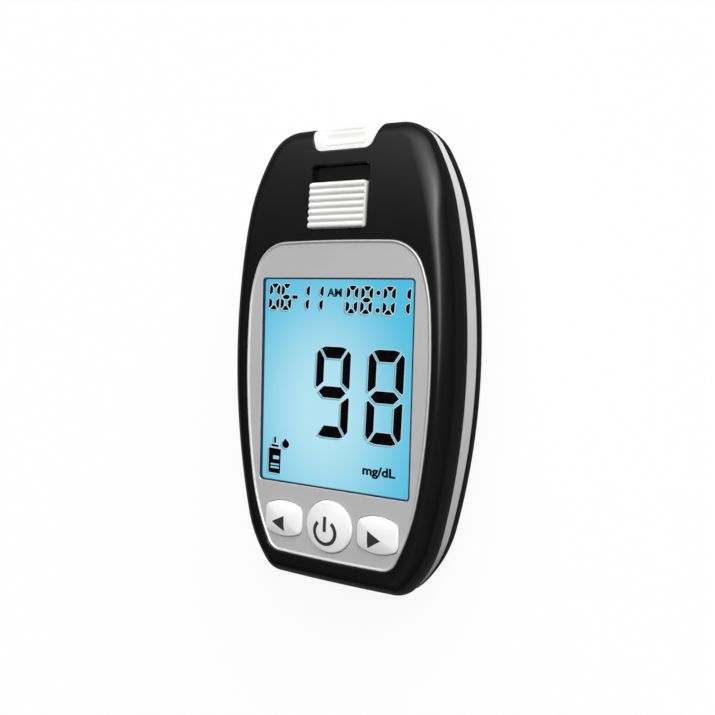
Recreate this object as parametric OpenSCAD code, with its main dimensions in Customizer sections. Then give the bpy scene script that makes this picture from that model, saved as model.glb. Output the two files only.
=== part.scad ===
// Hand-held blood glucose meter, lying on its back.
// +Z points out of the screen, +Y toward the test strip port, +X to the right as the user looks at it.
// The origin is the centre of the base, on the surface the meter rests on.

/* [Body] */
// Width of the body at its middle
body_w = 54; // [53:0.5:60]
// Length of the body
body_l = 95.2; // [94:0.2:104]
// Radius of the long bowed sides
side_r = 155; // [145:5:200]
// Radius of the nearly flat ends
end_r = 600; // [300:50:900]
// Shoulder radius at the strip end
head_shoulder_r = 46; // [32:2:54]
// Corner radius at the strip end
head_corner_r = 8.5; // [7.5:0.5:11]
// Shoulder radius at the button end
foot_shoulder_r = 25; // [21:1:30]
// Corner radius at the button end
foot_corner_r = 5; // [5:0.5:7]
// Width over which the front edge rounds along the sides
front_round = 4.6; // [3.6:0.2:4.8]
// Width over which the front edge rounds at the strip end
head_round = 3; // [2.4:0.2:4.2]
// Width over which the back edge rounds
back_round = 4.8; // [3.8:0.2:4.8]
// Depth of the front cover from its face to the seam
front_depth = 5.6; // [5.4:0.1:6]
// Length of the slope from the face down to the strip end
slope_l = 23.1; // [22:0.5:24]
// Radius of that slope
slope_r = 90; // [80:5:140]
// Wall at the sides of the covers
side_wall = 1.6; // [1.4:0.1:1.8]
// Wall of the front cover's face
face_wall = 1.8; // [1.7:0.1:1.9]
// Wall of the back and of the battery door
back_wall = 1.5; // [1.3:0.1:1.8]
// Height of the light side band at mid length
band_h = 5.2; // [4:0.2:6]
// Height the side band loses toward the ends
band_taper = 2.2; // [1:0.2:3]
// Thickness of the side band
band_t = 2.2; // [1.8:0.1:2.4]

/* [Faceplate] */
// Black border beside the faceplate
plate_side = 5.2; // [5:0.1:5.6]
// Distance from the strip end to the faceplate
plate_head = 23.5; // [23.2:0.1:24.5]
// Distance from the button end to the faceplate
plate_foot = 5.75; // [5.5:0.05:6]
// Radius of the faceplate's bowed sides
plate_side_r = 160; // [150:5:200]
// Thickness of the faceplate inside its rim
plate_t = 0.8; // [0.6:0.1:1]
// Height of the faceplate's rim
plate_rim_h = 0.2; // [0.1:0.05:0.3]
// Silver border beside the display window
window_side = 3.8; // [3.4:0.1:4.4]
// Silver border above the display window
window_head = 7.65; // [7:0.05:9]
// Silver border below the display window
window_foot = 15; // [14.9:0.1:16]

/* [Buttons] */
// Distance from the button end of the body to the row of buttons
button_row = 13.1; // [13:0.05:13.2]
// Diameter of the power button
power_d = 10.9; // [9.6:0.1:11]
// Space between the power button and an arrow button
key_space = 1.2; // [1.1:0.1:1.6]
// Silver border beside the arrow buttons
key_side = 1.65; // [1.65:0.05:2.4]
// Length of an arrow button at its middle
arrow_l = 7.6; // [7:0.1:8]
// Radius of an arrow button's bowed ends
arrow_end_r = 9.3; // [9:0.1:11]
// How far the buttons stand above the faceplate
button_h = 1; // [0.8:0.1:1.4]
// Travel of the buttons
button_travel = 0.6; // [0.4:0.1:0.7]
// Gap round the buttons
button_gap = 0.15; // [0.1:0.05:0.2]

/* [Strip port and ejector] */
// Half width of the port's notch at its inner side
port_in = 6.3; // [5.6:0.1:6.6]
// Half width of the port's notch at the end of the body
port_out = 8.9; // [8:0.1:9.6]
// Depth of the port's notch from the end of the body
port_l = 5.2; // [4.8:0.1:5.4]
// Width of the strip slot
slot_w = 7.6; // [6:0.2:8]
// Height of the strip slot
slot_h = 1.1; // [0.8:0.1:1.2]
// Distance from the strip end to the ejector slider
slider_head = 11.8; // [11.6:0.1:12.2]
// Width of the ejector slider
slider_w = 13.2; // [12:0.2:13.6]
// Length of the ejector slider
slider_l = 9.4; // [9:0.2:9.8]
// Travel of the ejector
eject_travel = 3.3; // [2.8:0.1:3.4]
// Height of the slider above the face
slider_h = 0.65; // [0.5:0.05:0.9]
// Number of ribs on the slider
rib_count = 7; // [5:1:9]
// Depth of the grooves between the ribs
rib_depth = 0.35; // [0.2:0.05:0.5]

/* [Electronics] */
// Thickness of the circuit board
board_t = 0.8; // [0.8:0.1:1]
// Thickness of the backlight
backlight_t = 1.4; // [1.2:0.1:1.6]
// Thickness of the liquid crystal cell
lcd_t = 1.9; // [1.7:0.1:2.1]
// Glass border of the cell outside the window
lcd_border = 0.8; // [0.6:0.1:0.9]
// Glass ledge that carries the cell's contacts, above the window
lcd_ledge = 2.4; // [2.2:0.1:3]
// Height of the strip connector
connector_h = 1.7; // [1.6:0.1:1.8]
// Side of the processor's square package
processor_w = 10; // [7:0.5:12]
// Diameter of the buzzer
buzzer_d = 12; // [9:0.5:13]

/* [Batteries] */
// Diameter of a cell
cell_d = 10.5; // [10.2:0.1:10.8]
// Length of a cell with its button
cell_l = 44.5; // [43.6:0.1:45]
// Space between the two cells' axes
cell_pitch = 10.8; // [10.8:0.1:11]
// Length of a fitted contact spring
contact_spring_l = 3.2; // [2.8:0.1:3.6]
// Distance from the button end of the body to the battery bay
bay_foot = 12; // [11.5:0.5:13]
// Width of the battery door
door_w = 26; // [25.6:0.1:26.4]
// Number of grip grooves in the battery door
grip_count = 6; // [4:1:9]

/* [Screws] */
// Shank diameter of the case screws
screw_d = 2; // [1.8:0.1:2.2]
// Length of the case screws under the head
screw_l = 9; // [8:0.5:10]
// Distance of the upper screws from the strip end
head_screw = 16.6; // [16:0.2:17]
// Distance of the lower screws from the button end
foot_screw = 14.6; // [14.4:0.1:15]
// Wall of the columns round the case screws
boss_wall = 1.3; // [1.2:0.1:1.4]
// Shank diameter of the board screws
post_screw_d = 1.2; // [1:0.1:1.4]
// Length of the board screws under the head
post_screw_l = 3; // [2.5:0.5:4]

/* [Hidden] */
$fn = 48;
EPS = 0.01;

half_w = body_w / 2;
half_l = body_l / 2;

// Gap that lets one piece slide in or on another
slide_gap = 0.12;
// Gap between pieces that are assembled once
seat_gap = 0.1;
// Room between the glass stack and the cover's opening
opening_gap = 0.2;

// Heights, from the resting surface up
cell_z = back_wall + 0.15 + cell_d / 2;
board_z = cell_z + cell_d / 2 + 0.25;
board_top = board_z + board_t;
tray_floor = 0.5;
backlight_z = board_top + tray_floor;
lcd_z = backlight_z + backlight_t + seat_gap;
lens_z = lcd_z + lcd_t + seat_gap;
lens_flange = 0.4;
plate_z = lens_z + lens_flange;
plate_top = plate_z + plate_t;
front_z = plate_top + plate_rim_h;
seam_z = front_z - front_depth;
ceiling_z = front_z - face_wall;

// Faceplate, window and glass
slope_y = half_l - slope_l;
plate_head_y = half_l - plate_head;
plate_foot_y = -half_l + plate_foot;
plate_wide_y = -1;
plate_w = body_w - 2 * plate_side;
plate_head_r = 30;
plate_foot_r = 46;
plate_end_r = 400;
plate_head_a = 4;
plate_foot_a = 9;
window_w = plate_w - 2 * window_side;
window_head_y = plate_head_y - window_head;
window_foot_y = plate_foot_y + window_foot;
glass_w = window_w + 2 * lcd_border;
glass_head_y = window_head_y + lcd_ledge;
glass_foot_y = window_foot_y - lcd_border;
zebra_w = 1.6;
light_head_y = glass_head_y - zebra_w - 0.3;
tray_wall = 0.9;

// Buttons
button_y = -half_l + button_row;
plate_row_x = shoulder_x(plate_w / 2, plate_side_r, plate_foot_a, plate_foot_r, plate_wide_y - button_y);
arrow_w = plate_row_x - key_side - power_d / 2 - key_space;
arrow_x = power_d / 2 + key_space + arrow_w / 2;
arrow_side_r = 40;
arrow_side_a = 1.7;
arrow_shoulder_r = 3;
arrow_corner_r = 1.2;
flange_grow = 0.35;
flange_h = 1.1;
button_flange_z = ceiling_z - seat_gap;
button_base_z = button_flange_z - flange_h;
button_top_z = plate_top + button_h;
button_edge = 0.5;
button_crown = 0.5;
dome_d = 5;
dome_h = 0.4;
sheet_t = 0.6;
keypad_post_d = 4.6;

// Case screws, the columns round them and the posts that the board is screwed to
screw_core_d = 0.86 * screw_d;
screw_head_d = 2 * screw_d;
screw_head_h = 1.3;
screw_seat_z = 6;
screw_hole_gap = 0.2;
thread_gap = 0.05;
boss_d = screw_d + 2 * boss_wall;
boss_gap = 0.3;
screw_edge = band_t + boss_d / 2 + boss_gap;
head_screw_y = half_l - head_screw;
foot_screw_y = -half_l + foot_screw;
post_d = 3.2;
post_head_d = 2.6;
post_head_h = 0.8;

// Battery bay and its door
plate_metal = 0.4;
contact_h = 7.6;
contact_w = 8;
bay_wall = 1.2;
bay_half_w = cell_pitch / 2 + cell_d / 2 + 0.35;
bay_l = cell_l + contact_spring_l + 2 * plate_metal + seat_gap;
bay_foot_y = -half_l + bay_foot;
bay_head_y = bay_foot_y + bay_l;
bay_z = board_z - seat_gap;
door_head_y = bay_head_y + 0.2;
door_end_z = 5.5;
tongue_w = 0.9;
tongue_t = 0.7;
tongue_z = back_wall + seat_gap;
groove_top = tongue_z + tongue_t + 0.15;
rail_x = door_w / 2 + tongue_w + 0.2;

// Pocket of the ejector and what lies under it
slider_y = half_l - slider_head - slider_l;
pocket_w = slider_w + 2 * slide_gap;
pocket_foot_y = slider_y - 0.2;
pocket_head_y = slider_y + slider_l + eject_travel + 0.2;
pocket_y = (pocket_foot_y + pocket_head_y) / 2;
pocket_l = pocket_head_y - pocket_foot_y;
pocket_floor_t = 0.6;
pocket_under_z = board_top + connector_h + 0.5;
pocket_z = pocket_under_z + pocket_floor_t;
tub_wall = 0.9;
stem_l = 2;
stem_w = 4;
stem_y = slider_y + slider_l / 2 - 0.9;
carriage_lead = 0.6;
carriage_z = board_top + 0.2;
carriage_top = pocket_under_z - 0.2;
push_spring_r = 0.95;
push_spring_x = pocket_w / 2 + tub_wall + push_spring_r + 0.4;
push_spring_y = stem_y - 0.7;
push_spring_l = 7.5;
push_spring_z = board_top + 0.3 + push_spring_r;
stop_w = 2.4;
stop_l = 1.5;
strip_z = board_top + 0.95;
strip_t = 0.5;
connector_w = slot_w + 2.4;
connector_y = stem_y + stem_l + carriage_lead + eject_travel + 0.2;
connector_l = half_l - port_l - connector_y - 0.15;
tongue_in = 0.6;
chip_y = bay_head_y + 9.5;
head_post_x = push_spring_x + stop_w / 2 + post_d / 2 + 1.8;
foot_post_x = 11;
post_places = [[foot_post_x, -half_l + 6.2], [-foot_post_x, -half_l + 6.2],
    [head_post_x, half_l - 10], [-head_post_x, half_l - 10]];

// ---- Outlines -------------------------------------------------------------------------------

// Unit vector at an angle
function unit(a) = [cos(a), sin(a)];

// Crossing of two circles that lies furthest to the upper right
function crossing(c0, r0, c1, r1) =
    let (d = c1 - c0, s = norm(d), u = d / s, a = (r0 * r0 - r1 * r1 + s * s) / (2 * s),
        h = sqrt(max(r0 * r0 - a * a, 0)), m = c0 + a * u, p = m + h * [-u.y, u.x],
        q = m - h * [-u.y, u.x])
    p.x + p.y > q.x + q.y ? p : q;

// Points of an arc with the angle of the outward normal, without the last one
function arc_points(c, r, from, to, steps) =
    [for (i = [0 : steps - 1]) let (a = from + (to - from) * i / steps)
        [c.x + r * cos(a), c.y + r * sin(a), a]];

// Quarter of an outline from the middle of its end to the middle of its side: an end arc, a corner
// arc, a shoulder arc and a side arc, each tangent to the next
function quarter(half_w, half_l, side, shoulder_a, shoulder, corner, end, steps) =
    let (side_c = [half_w - side, 0], end_c = [0, half_l - end],
        shoulder_c = side_c + (side - shoulder) * unit(shoulder_a),
        corner_c = crossing(shoulder_c, shoulder - corner, end_c, end - corner),
        corner_a = atan2(corner_c.y - shoulder_c.y, corner_c.x - shoulder_c.x),
        end_a = atan2(corner_c.y - end_c.y, corner_c.x - end_c.x))
    concat(arc_points(end_c, end, 90, end_a, steps[0]),
        arc_points(corner_c, corner, end_a, corner_a, steps[1]),
        arc_points(shoulder_c, shoulder, corner_a, shoulder_a, steps[2]),
        arc_points(side_c, side, shoulder_a, 0, steps[3]));

// Distance from the middle line to the shoulder of such a quarter at y
function shoulder_x(half_w, side, shoulder_a, shoulder, y) =
    let (c = [half_w - side, 0] + (side - shoulder) * unit(shoulder_a))
    c.x + sqrt(shoulder * shoulder - (y - c.y) * (y - c.y));

// Whole outline from an upper and a lower quarter, clockwise from the middle of the upper end
function whole(upper, lower, half_w, cy) =
    let (n = len(lower),
        right = concat([for (p = upper) [p.x, p.y + cy, p.z]], [[half_w, cy, 0]],
            [for (i = [n - 1 : -1 : 0]) [lower[i].x, cy - lower[i].y, -lower[i].z]]),
        m = len(right) - 1)
    concat(right, [for (i = [m - 1 : -1 : 1]) [-right[i].x, right[i].y, 180 - right[i].z]]);

// Outline moved in by d
function inset(line, d) = [for (p = line) [p.x - d * cos(p.z), p.y - d * sin(p.z)]];

// Width of the front edge's rounding where the outline faces angle a
function edge_w(a) = front_round + (sin(a) > 0 ? (head_round - front_round) * pow(sin(a), 2) : 0);

body_line = whole(
    quarter(half_w, half_l, side_r, 11, head_shoulder_r, head_corner_r, end_r, [3, 7, 5, 6]),
    quarter(half_w, half_l, side_r, 13, foot_shoulder_r, foot_corner_r, end_r, [3, 6, 6, 6]),
    half_w, 0);

plate_line = whole(
    quarter(plate_w / 2, plate_head_y - plate_wide_y, plate_side_r, plate_head_a, plate_head_r, 8,
        plate_end_r, [2, 7, 4, 4]),
    quarter(plate_w / 2, plate_wide_y - plate_foot_y, plate_side_r, plate_foot_a, plate_foot_r, 3.6,
        plate_end_r, [2, 5, 5, 6]),
    plate_w / 2, plate_wide_y);

arrow_quarter = quarter(arrow_w / 2, arrow_l / 2, arrow_side_r, arrow_side_a, arrow_shoulder_r,
    arrow_corner_r, arrow_end_r, [2, 3, 1, 1]);
arrow_line = whole(arrow_quarter, arrow_quarter, arrow_w / 2, 0);

// Body outline moved in by d and by share k of a rounding of width w, or of the front edge's own
function rounded_in(d, k, w) =
    [for (p = body_line) let (q = d + k * (w == undef ? edge_w(p.z) : w))
        [p.x - q * cos(p.z), p.y - q * sin(p.z)]];

// Distance from the middle line to the body's bowed side at y
function side_x(y) = half_w - side_r + sqrt(side_r * side_r - y * y);

screw_places = [for (y = [head_screw_y, foot_screw_y], s = [1, -1]) [s * (side_x(y) - screw_edge), y]];

// Height of the front face at y: level, then an arc down toward the strip end
function face_z(y) =
    y < slope_y ? front_z : front_z - slope_r + sqrt(slope_r * slope_r - (y - slope_y) * (y - slope_y));

// Height of the seam between the side band and the back cover at y
function back_seam_z(y) =
    seam_z - band_h + band_taper * pow(y / half_l, 2);

// ---- Shared shapes --------------------------------------------------------------------------

// Closed solid through rings of points that all start at the middle of their upper end and run
// clockwise; the two caps are strips across the middle line, so they may slope along y
module loft(rings) {
    n = len(rings[0]);
    m = n / 2;
    top = (len(rings) - 1) * n;
    sides = [for (k = [0 : len(rings) - 2]) for (i = [0 : n - 1]) let (j = (i + 1) % n)
        for (t = [[k * n + j, k * n + n + j, k * n + n + i], [k * n + j, k * n + n + i, k * n + i]]) t];
    cap = concat([[0, 1, n - 1], [m - 1, m, m + 1]],
        [for (i = [1 : m - 2]) for (t = [[i, i + 1, n - i - 1], [i, n - i - 1, n - i]]) t]);
    polyhedron(points = [for (r = rings) for (p = r) p],
        faces = concat(sides, [for (f = cap) [f[2], f[1], f[0]]], [for (f = cap) [for (v = f) v + top]]));
}

// Ring of the front cover at angle a of its rounding of width w: 0 at the base, 90 on the face
function front_ring(a, d, base, drop, w) =
    [for (p = rounded_in(d, 1 - cos(a), w)) [p.x, p.y, base + (face_z(p.y) - drop - base) * sin(a)]];

// Ring of the back cover at angle a of its rounding of width w: 90 on the floor, 0 at the seam
function back_ring(a, d, low, w) =
    [for (p = rounded_in(d, 1 - cos(a), w)) [p.x, p.y, low + (back_seam_z(p.y) - low) * (1 - sin(a))]];

// Ring of an outline moved in by d, at height z
function flat_ring(line, d, z) = [for (p = inset(line, d)) [p.x, p.y, z]];

// Rectangle with round corners, centred
module rounded(w, l, r) {
    square([w - 2 * r, l], center = true);
    square([w, l - 2 * r], center = true);
    for (x = [-1, 1], y = [-1, 1]) translate([x * (w / 2 - r), y * (l / 2 - r)]) circle(r);
}

// Block centred on x and y that stands on z
module block(w, l, h, at) {
    translate([at.x - w / 2, at.y - l / 2, at.z]) cube([w, l, h]);
}

module post(d, from, to, at) {
    translate([at.x, at.y, from]) cylinder(d = d, h = to - from);
}

// Round wire wound along +Z from the origin, its radius going from r0 to r1
module coil(r0, r1, wire, turns, h) {
    sides = 6;
    steps = ceil(turns * 14);
    function at(i, k) =
        let (a = 360 * turns * i / steps, r = r0 + (r1 - r0) * i / steps, b = 360 * k / sides,
            q = r + wire / 2 * cos(b))
        [q * cos(a), q * sin(a), wire / 2 + (h - wire) * i / steps + wire / 2 * sin(b)];
    polyhedron(
        points = [for (i = [0 : steps], k = [0 : sides - 1]) at(i, k)],
        faces = concat([[for (k = [0 : sides - 1]) k]],
            [for (i = [0 : steps - 1], k = [0 : sides - 1]) let (j = (k + 1) % sides)
                [i * sides + k, (i + 1) * sides + k, (i + 1) * sides + j, i * sides + j]],
            [[for (k = [sides - 1 : -1 : 0]) steps * sides + k]]));
}

// Plan of the notch for the strip port, grown by g
module port_plan(g) {
    y0 = half_l - port_l - g;
    polygon([[-port_in - g, y0], [port_in + g, y0], [port_out + g, half_l + 1],
        [-port_out - g, half_l + 1]]);
}

module window_plan(grow, r) {
    translate([0, (window_head_y + window_foot_y) / 2])
        rounded(window_w + 2 * grow, window_head_y - window_foot_y + 2 * grow, r);
}

module glass_plan(grow, r) {
    translate([0, (glass_head_y + glass_foot_y) / 2])
        rounded(glass_w + 2 * grow, glass_head_y - glass_foot_y + 2 * grow, r);
}

module button_plans(grow) {
    translate([0, button_y]) circle(d = power_d + 2 * grow);
    for (s = [-1, 1]) translate([s * arrow_x, button_y])
        polygon(inset(arrow_line, -grow));
}

// ---- Housing --------------------------------------------------------------------------------

// Rounding inside a wall: it stays within the tightest corner of the outline
function inner_round(wall, outer) = min(outer - wall / 2, foot_corner_r - wall - 0.4);

module front_skin(shrink) {
    loft([for (a = [0 : 15 : 90]) front_ring(a, shrink, seam_z, shrink)]);
}

module front_hollow() {
    w = inner_round(side_wall, head_round + side_wall / 2);
    loft(concat([flat_ring(body_line, side_wall, seam_z - 1)],
        [for (a = [0 : 22.5 : 90]) front_ring(a, side_wall, seam_z, face_wall, w)]));
}

module front_cover() {
    bore_d = screw_core_d + 2 * thread_gap;
    color([0.1, 0.1, 0.1]) difference() {
        union() {
            difference() {
                front_skin(0);
                front_hollow();
            }
            // Tub of the ejector's pocket
            block(pocket_w + 2 * tub_wall, pocket_l + 2 * tub_wall, ceiling_z + 0.1 - pocket_under_z,
                [0, pocket_y, pocket_under_z]);
            for (p = screw_places) post(boss_d, board_z, ceiling_z + 0.4, p);
            for (p = post_places) post(post_d, board_top, face_z(p.y) - face_wall + 0.4, p);
            // Stops for the ejector's springs
            for (s = [-1, 1]) block(stop_w, stop_l, face_z(pocket_head_y) - face_wall + 0.4 - carriage_z,
                [s * push_spring_x, push_spring_y + push_spring_l + stop_l / 2, carriage_z]);
        }
        // Recess of the faceplate, and openings for the glass and the buttons
        translate([0, 0, plate_z]) linear_extrude(front_z) polygon(inset(plate_line, -seat_gap));
        translate([0, 0, lcd_z - 1]) linear_extrude(front_z) {
            glass_plan(opening_gap, opening_gap);
            button_plans(button_gap);
        }
        // Pocket of the ejector and the slot for its stem
        translate([0, pocket_y, pocket_z]) linear_extrude(front_z) rounded(pocket_w, pocket_l, 0.8);
        block(stem_w + 0.4, stem_l + eject_travel + 0.4, pocket_floor_t + 1,
            [0, stem_y + (stem_l + eject_travel) / 2, pocket_under_z - 0.5]);
        // Notch of the strip port
        translate([0, 0, seam_z - 1]) linear_extrude(front_z) port_plan(0);
        for (p = screw_places) post(bore_d, board_z - 1, screw_seat_z + screw_l + 0.5, p);
        for (p = post_places)
            post(post_screw_d + 2 * thread_gap, board_z, board_z + post_screw_l + 0.3, p);
    }
}

module side_band() {
    gap = 0.05;
    color([0.93, 0.93, 0.92]) difference() {
        loft([for (s = [0, 1]) [for (p = inset(body_line, 0.15))
            [p.x, p.y, s == 0 ? back_seam_z(p.y) + gap : seam_z]]]);
        loft([for (z = [0, front_z]) flat_ring(body_line, band_t, z)]);
    }
}

module back_skin() {
    loft([for (a = [90 : -15 : 0]) back_ring(a, 0, 0, back_round)]);
}

module back_hollow(wall) {
    loft(concat([for (a = [90 : -22.5 : 0]) back_ring(a, wall, back_wall, inner_round(wall, back_round))],
        [flat_ring(body_line, wall, front_z)]));
}

// Side of the battery bay in cross section, on the right
module bay_side_plan() {
    polygon([[bay_half_w, groove_top], [rail_x, groove_top], [rail_x, back_wall - EPS],
        [rail_x + bay_wall, back_wall - EPS], [rail_x + bay_wall, groove_top + bay_wall],
        [bay_half_w + bay_wall, groove_top + bay_wall], [bay_half_w + bay_wall, bay_z], [bay_half_w, bay_z]]);
}

module back_cover() {
    out_w = 2 * tongue_w + 0.4;
    end_w = 2 * bay_half_w + bay_wall;
    color([0.1, 0.1, 0.1]) difference() {
        union() {
            difference() {
                back_skin();
                back_hollow(side_wall);
                // Place of the battery door, and the way out of its tongues through the end wall
                translate([-door_w / 2 - slide_gap, -body_l, -1]) cube([door_w + 2 * slide_gap,
                    body_l + door_head_y + slide_gap, door_end_z + slide_gap + 1]);
                for (s = [-1, 1]) block(out_w, 2 * (side_wall + back_round), groove_top - back_wall - 0.03,
                    [s * (rail_x - out_w / 2), -half_l, back_wall + 0.03]);
            }
            for (s = [0, 1]) mirror([s, 0, 0]) translate([0, bay_head_y + bay_wall, 0]) rotate([90, 0, 0])
                linear_extrude(bay_l + 2 * bay_wall) bay_side_plan();
            for (y = [bay_foot_y - bay_wall / 2, bay_head_y + bay_wall / 2])
                block(end_w, bay_wall, bay_z - groove_top, [0, y, groove_top]);
            block(end_w, bay_wall, bay_z - back_wall + EPS,
                [0, door_head_y + slide_gap + bay_wall / 2, back_wall - EPS]);
            for (p = screw_places) post(boss_d, back_wall - EPS, board_z, p);
        }
        for (p = screw_places) {
            post(screw_d + 2 * screw_hole_gap, screw_seat_z - 1, board_z + 1, p);
            post(screw_head_d + 2 * screw_hole_gap, -1, screw_seat_z, p);
        }
    }
}

module battery_door() {
    grip_pitch = 1.7;
    grip_r = 0.7;
    grip_w = door_w - 10;
    tongue_l = door_head_y - bay_foot_y;
    tongue_y = (door_head_y + bay_foot_y) / 2;
    rise = seat_gap / 2;
    color([0.12, 0.12, 0.12]) {
        difference() {
            intersection() {
                difference() {
                    back_skin();
                    back_hollow(back_wall);
                }
                translate([-door_w / 2, -body_l, -1]) cube([door_w, body_l + door_head_y, door_end_z + 1]);
            }
            for (i = [0 : grip_count - 1]) translate([0, door_head_y - 4 - i * grip_pitch, -grip_r / 2])
                rotate([0, 90, 0]) cylinder(r = grip_r, h = grip_w, center = true);
        }
        for (s = [-1, 1]) {
            block(2 * tongue_w + 0.6, tongue_l, tongue_t + rise,
                [s * (door_w / 2 - 0.3), tongue_y, tongue_z - rise]);
            block(tongue_w, tongue_l, seat_gap + EPS, [s * (door_w / 2 - 0.7), tongue_y, back_wall - EPS]);
        }
    }
}

// ---- Face -----------------------------------------------------------------------------------

module faceplate() {
    lip = 0.15;
    color([0.78, 0.78, 0.79]) difference() {
        loft([flat_ring(plate_line, 0, plate_z), flat_ring(plate_line, 0, front_z - lip),
            flat_ring(plate_line, lip, front_z), flat_ring(plate_line, 0.3, front_z),
            flat_ring(plate_line, 0.9, plate_top)]);
        translate([0, 0, plate_z - 1]) linear_extrude(front_z) {
            window_plan(0, 0.8);
            button_plans(button_gap);
        }
    }
}

module display_lens() {
    color([0.85, 0.95, 1, 0.3]) {
        translate([0, 0, lens_z]) linear_extrude(lens_flange) glass_plan(0, 0.8);
        translate([0, 0, lens_z]) linear_extrude(plate_top - seat_gap - lens_z) window_plan(-seat_gap, 0.7);
    }
}

// Block across the glass stack between two places along the body
module slab(w, foot_y, head_y, h, z) {
    block(w, head_y - foot_y, h, [0, (head_y + foot_y) / 2, z]);
}

module lcd_cell() {
    color([0.45, 0.78, 0.92]) {
        slab(glass_w, glass_foot_y, light_head_y, lcd_t / 2, lcd_z);
        slab(glass_w, glass_foot_y, glass_head_y, lcd_t / 2, lcd_z + lcd_t / 2);
    }
}

module backlight() {
    color([0.6, 0.85, 0.98]) slab(glass_w, glass_foot_y, light_head_y, backlight_t, backlight_z);
}

module display_tray() {
    h = backlight_t + tray_floor - 0.3;
    grow = opening_gap;
    color([0.95, 0.95, 0.93]) {
        difference() {
            slab(glass_w + 2 * (grow + tray_wall), glass_foot_y - grow - tray_wall,
                glass_head_y + grow + tray_wall, h, board_top);
            slab(glass_w + 2 * grow, glass_foot_y - grow, glass_head_y + grow, h + 1, board_top - 0.5);
        }
        slab(glass_w + tray_wall, glass_foot_y, light_head_y, tray_floor, board_top);
    }
}

module zebra_strips() {
    space = 1;
    w = (glass_w - space) / 2 - 1;
    color([0.25, 0.25, 0.27]) for (s = [-1, 1])
        block(w, zebra_w, lcd_z + lcd_t / 2 - board_top,
            [s * (w + space) / 2, glass_head_y - zebra_w / 2 - 0.1, board_top]);
}

// ---- Board ----------------------------------------------------------------------------------

module main_board() {
    color([0.05, 0.35, 0.18]) difference() {
        translate([0, 0, board_z]) linear_extrude(board_t) polygon(inset(body_line, band_t + 0.6));
        for (p = screw_places) post(boss_d + 0.6, board_z - 1, board_top + 1, p);
        for (p = post_places) post(post_screw_d + 0.3, board_z - 1, board_top + 1, p);
    }
}

module processor() {
    h = 1.4;
    color([0.12, 0.12, 0.13])
        block(processor_w, processor_w, h, [processor_w / 2 + 1, chip_y, board_z - h]);
}

module memory_chip() {
    w = 4;
    l = 5;
    h = 1.2;
    color([0.12, 0.12, 0.13])
        block(w, l, h, [-bay_half_w - bay_wall - 1.5 - w / 2, bay_head_y - 6, board_z - h]);
}

module crystal() {
    r = 1.2;
    l = 6;
    color([0.8, 0.8, 0.82]) translate([processor_w + 3.5, chip_y + l / 2, board_z - r])
        rotate([90, 0, 0]) cylinder(r = r, h = l);
}

module buzzer() {
    h = 3.4;
    at = [-buzzer_d / 2 - 2.5, chip_y];
    color([0.1, 0.1, 0.1]) difference() {
        post(buzzer_d, board_z - h, board_z, at);
        post(2, board_z - h - 1, board_z - h + 1, at);
    }
}

module switch_domes() {
    steps = 6;
    color([0.8, 0.8, 0.8]) for (x = [-arrow_x, 0, arrow_x]) translate([x, button_y, board_top])
        rotate_extrude() polygon(concat([[0, 0]],
            [for (i = [0 : steps]) let (a = 90 * i / steps) [dome_d / 2 * cos(a), dome_h * sin(a)]]));
}

// ---- Buttons --------------------------------------------------------------------------------

module keypad() {
    sheet_z = board_top + dome_h;
    color([0.75, 0.75, 0.75]) {
        block(2 * arrow_x + arrow_w, arrow_l + 2.4, sheet_t, [0, button_y, sheet_z]);
        for (x = [-arrow_x, 0, arrow_x]) post(keypad_post_d, sheet_z, button_base_z, [x, button_y]);
    }
}

module power_button() {
    r = power_d / 2;
    in_r = r - button_edge;
    shoulder_z = button_top_z - button_crown;
    crown_r = (in_r * in_r + button_crown * button_crown) / (2 * button_crown);
    color([0.97, 0.97, 0.97]) translate([0, button_y, 0]) {
        cylinder_from(r, button_base_z, shoulder_z - button_edge);
        cylinder_from(r + flange_grow, button_base_z, button_flange_z);
        rotate_extrude() intersection() {
            union() {
                translate([0, shoulder_z - button_edge]) square([in_r, button_edge]);
                translate([in_r, shoulder_z - button_edge]) circle(button_edge);
                intersection() {
                    translate([0, button_top_z - crown_r]) circle(crown_r);
                    translate([0, shoulder_z]) square([in_r, button_crown + 1]);
                }
            }
            translate([0, shoulder_z - button_edge - EPS]) square([r + 1, button_crown + button_edge + 1]);
        }
    }
}

module cylinder_from(r, from, to) {
    translate([0, 0, from]) cylinder(r = r, h = to - from);
}

module arrow_button() {
    shoulder_z = button_top_z - button_crown;
    sides = [for (a = [0 : 30 : 90])
        flat_ring(arrow_line, button_edge * (1 - cos(a)), shoulder_z - button_edge * (1 - sin(a)))];
    // The shoulder ring drawn in toward the middle along a flat arc
    crown = [for (s = [0.75, 0.45, 0.15]) [for (p = inset(arrow_line, button_edge))
        [p.x * s, p.y * s, shoulder_z + button_crown * (1 - s * s)]]];
    color([0.97, 0.97, 0.97]) {
        loft(concat([flat_ring(arrow_line, 0, button_base_z)], sides, crown));
        // Flange above and below, clear of the screw column beside it
        for (s = [-1, 1]) translate([0, s * flange_grow, button_base_z]) linear_extrude(flange_h)
            polygon(inset(arrow_line, 0));
    }
}

module left_button() {
    translate([-arrow_x, button_y, 0]) arrow_button();
}

module right_button() {
    translate([arrow_x, button_y, 0]) arrow_button();
}

// ---- Strip port and ejector -----------------------------------------------------------------

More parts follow.
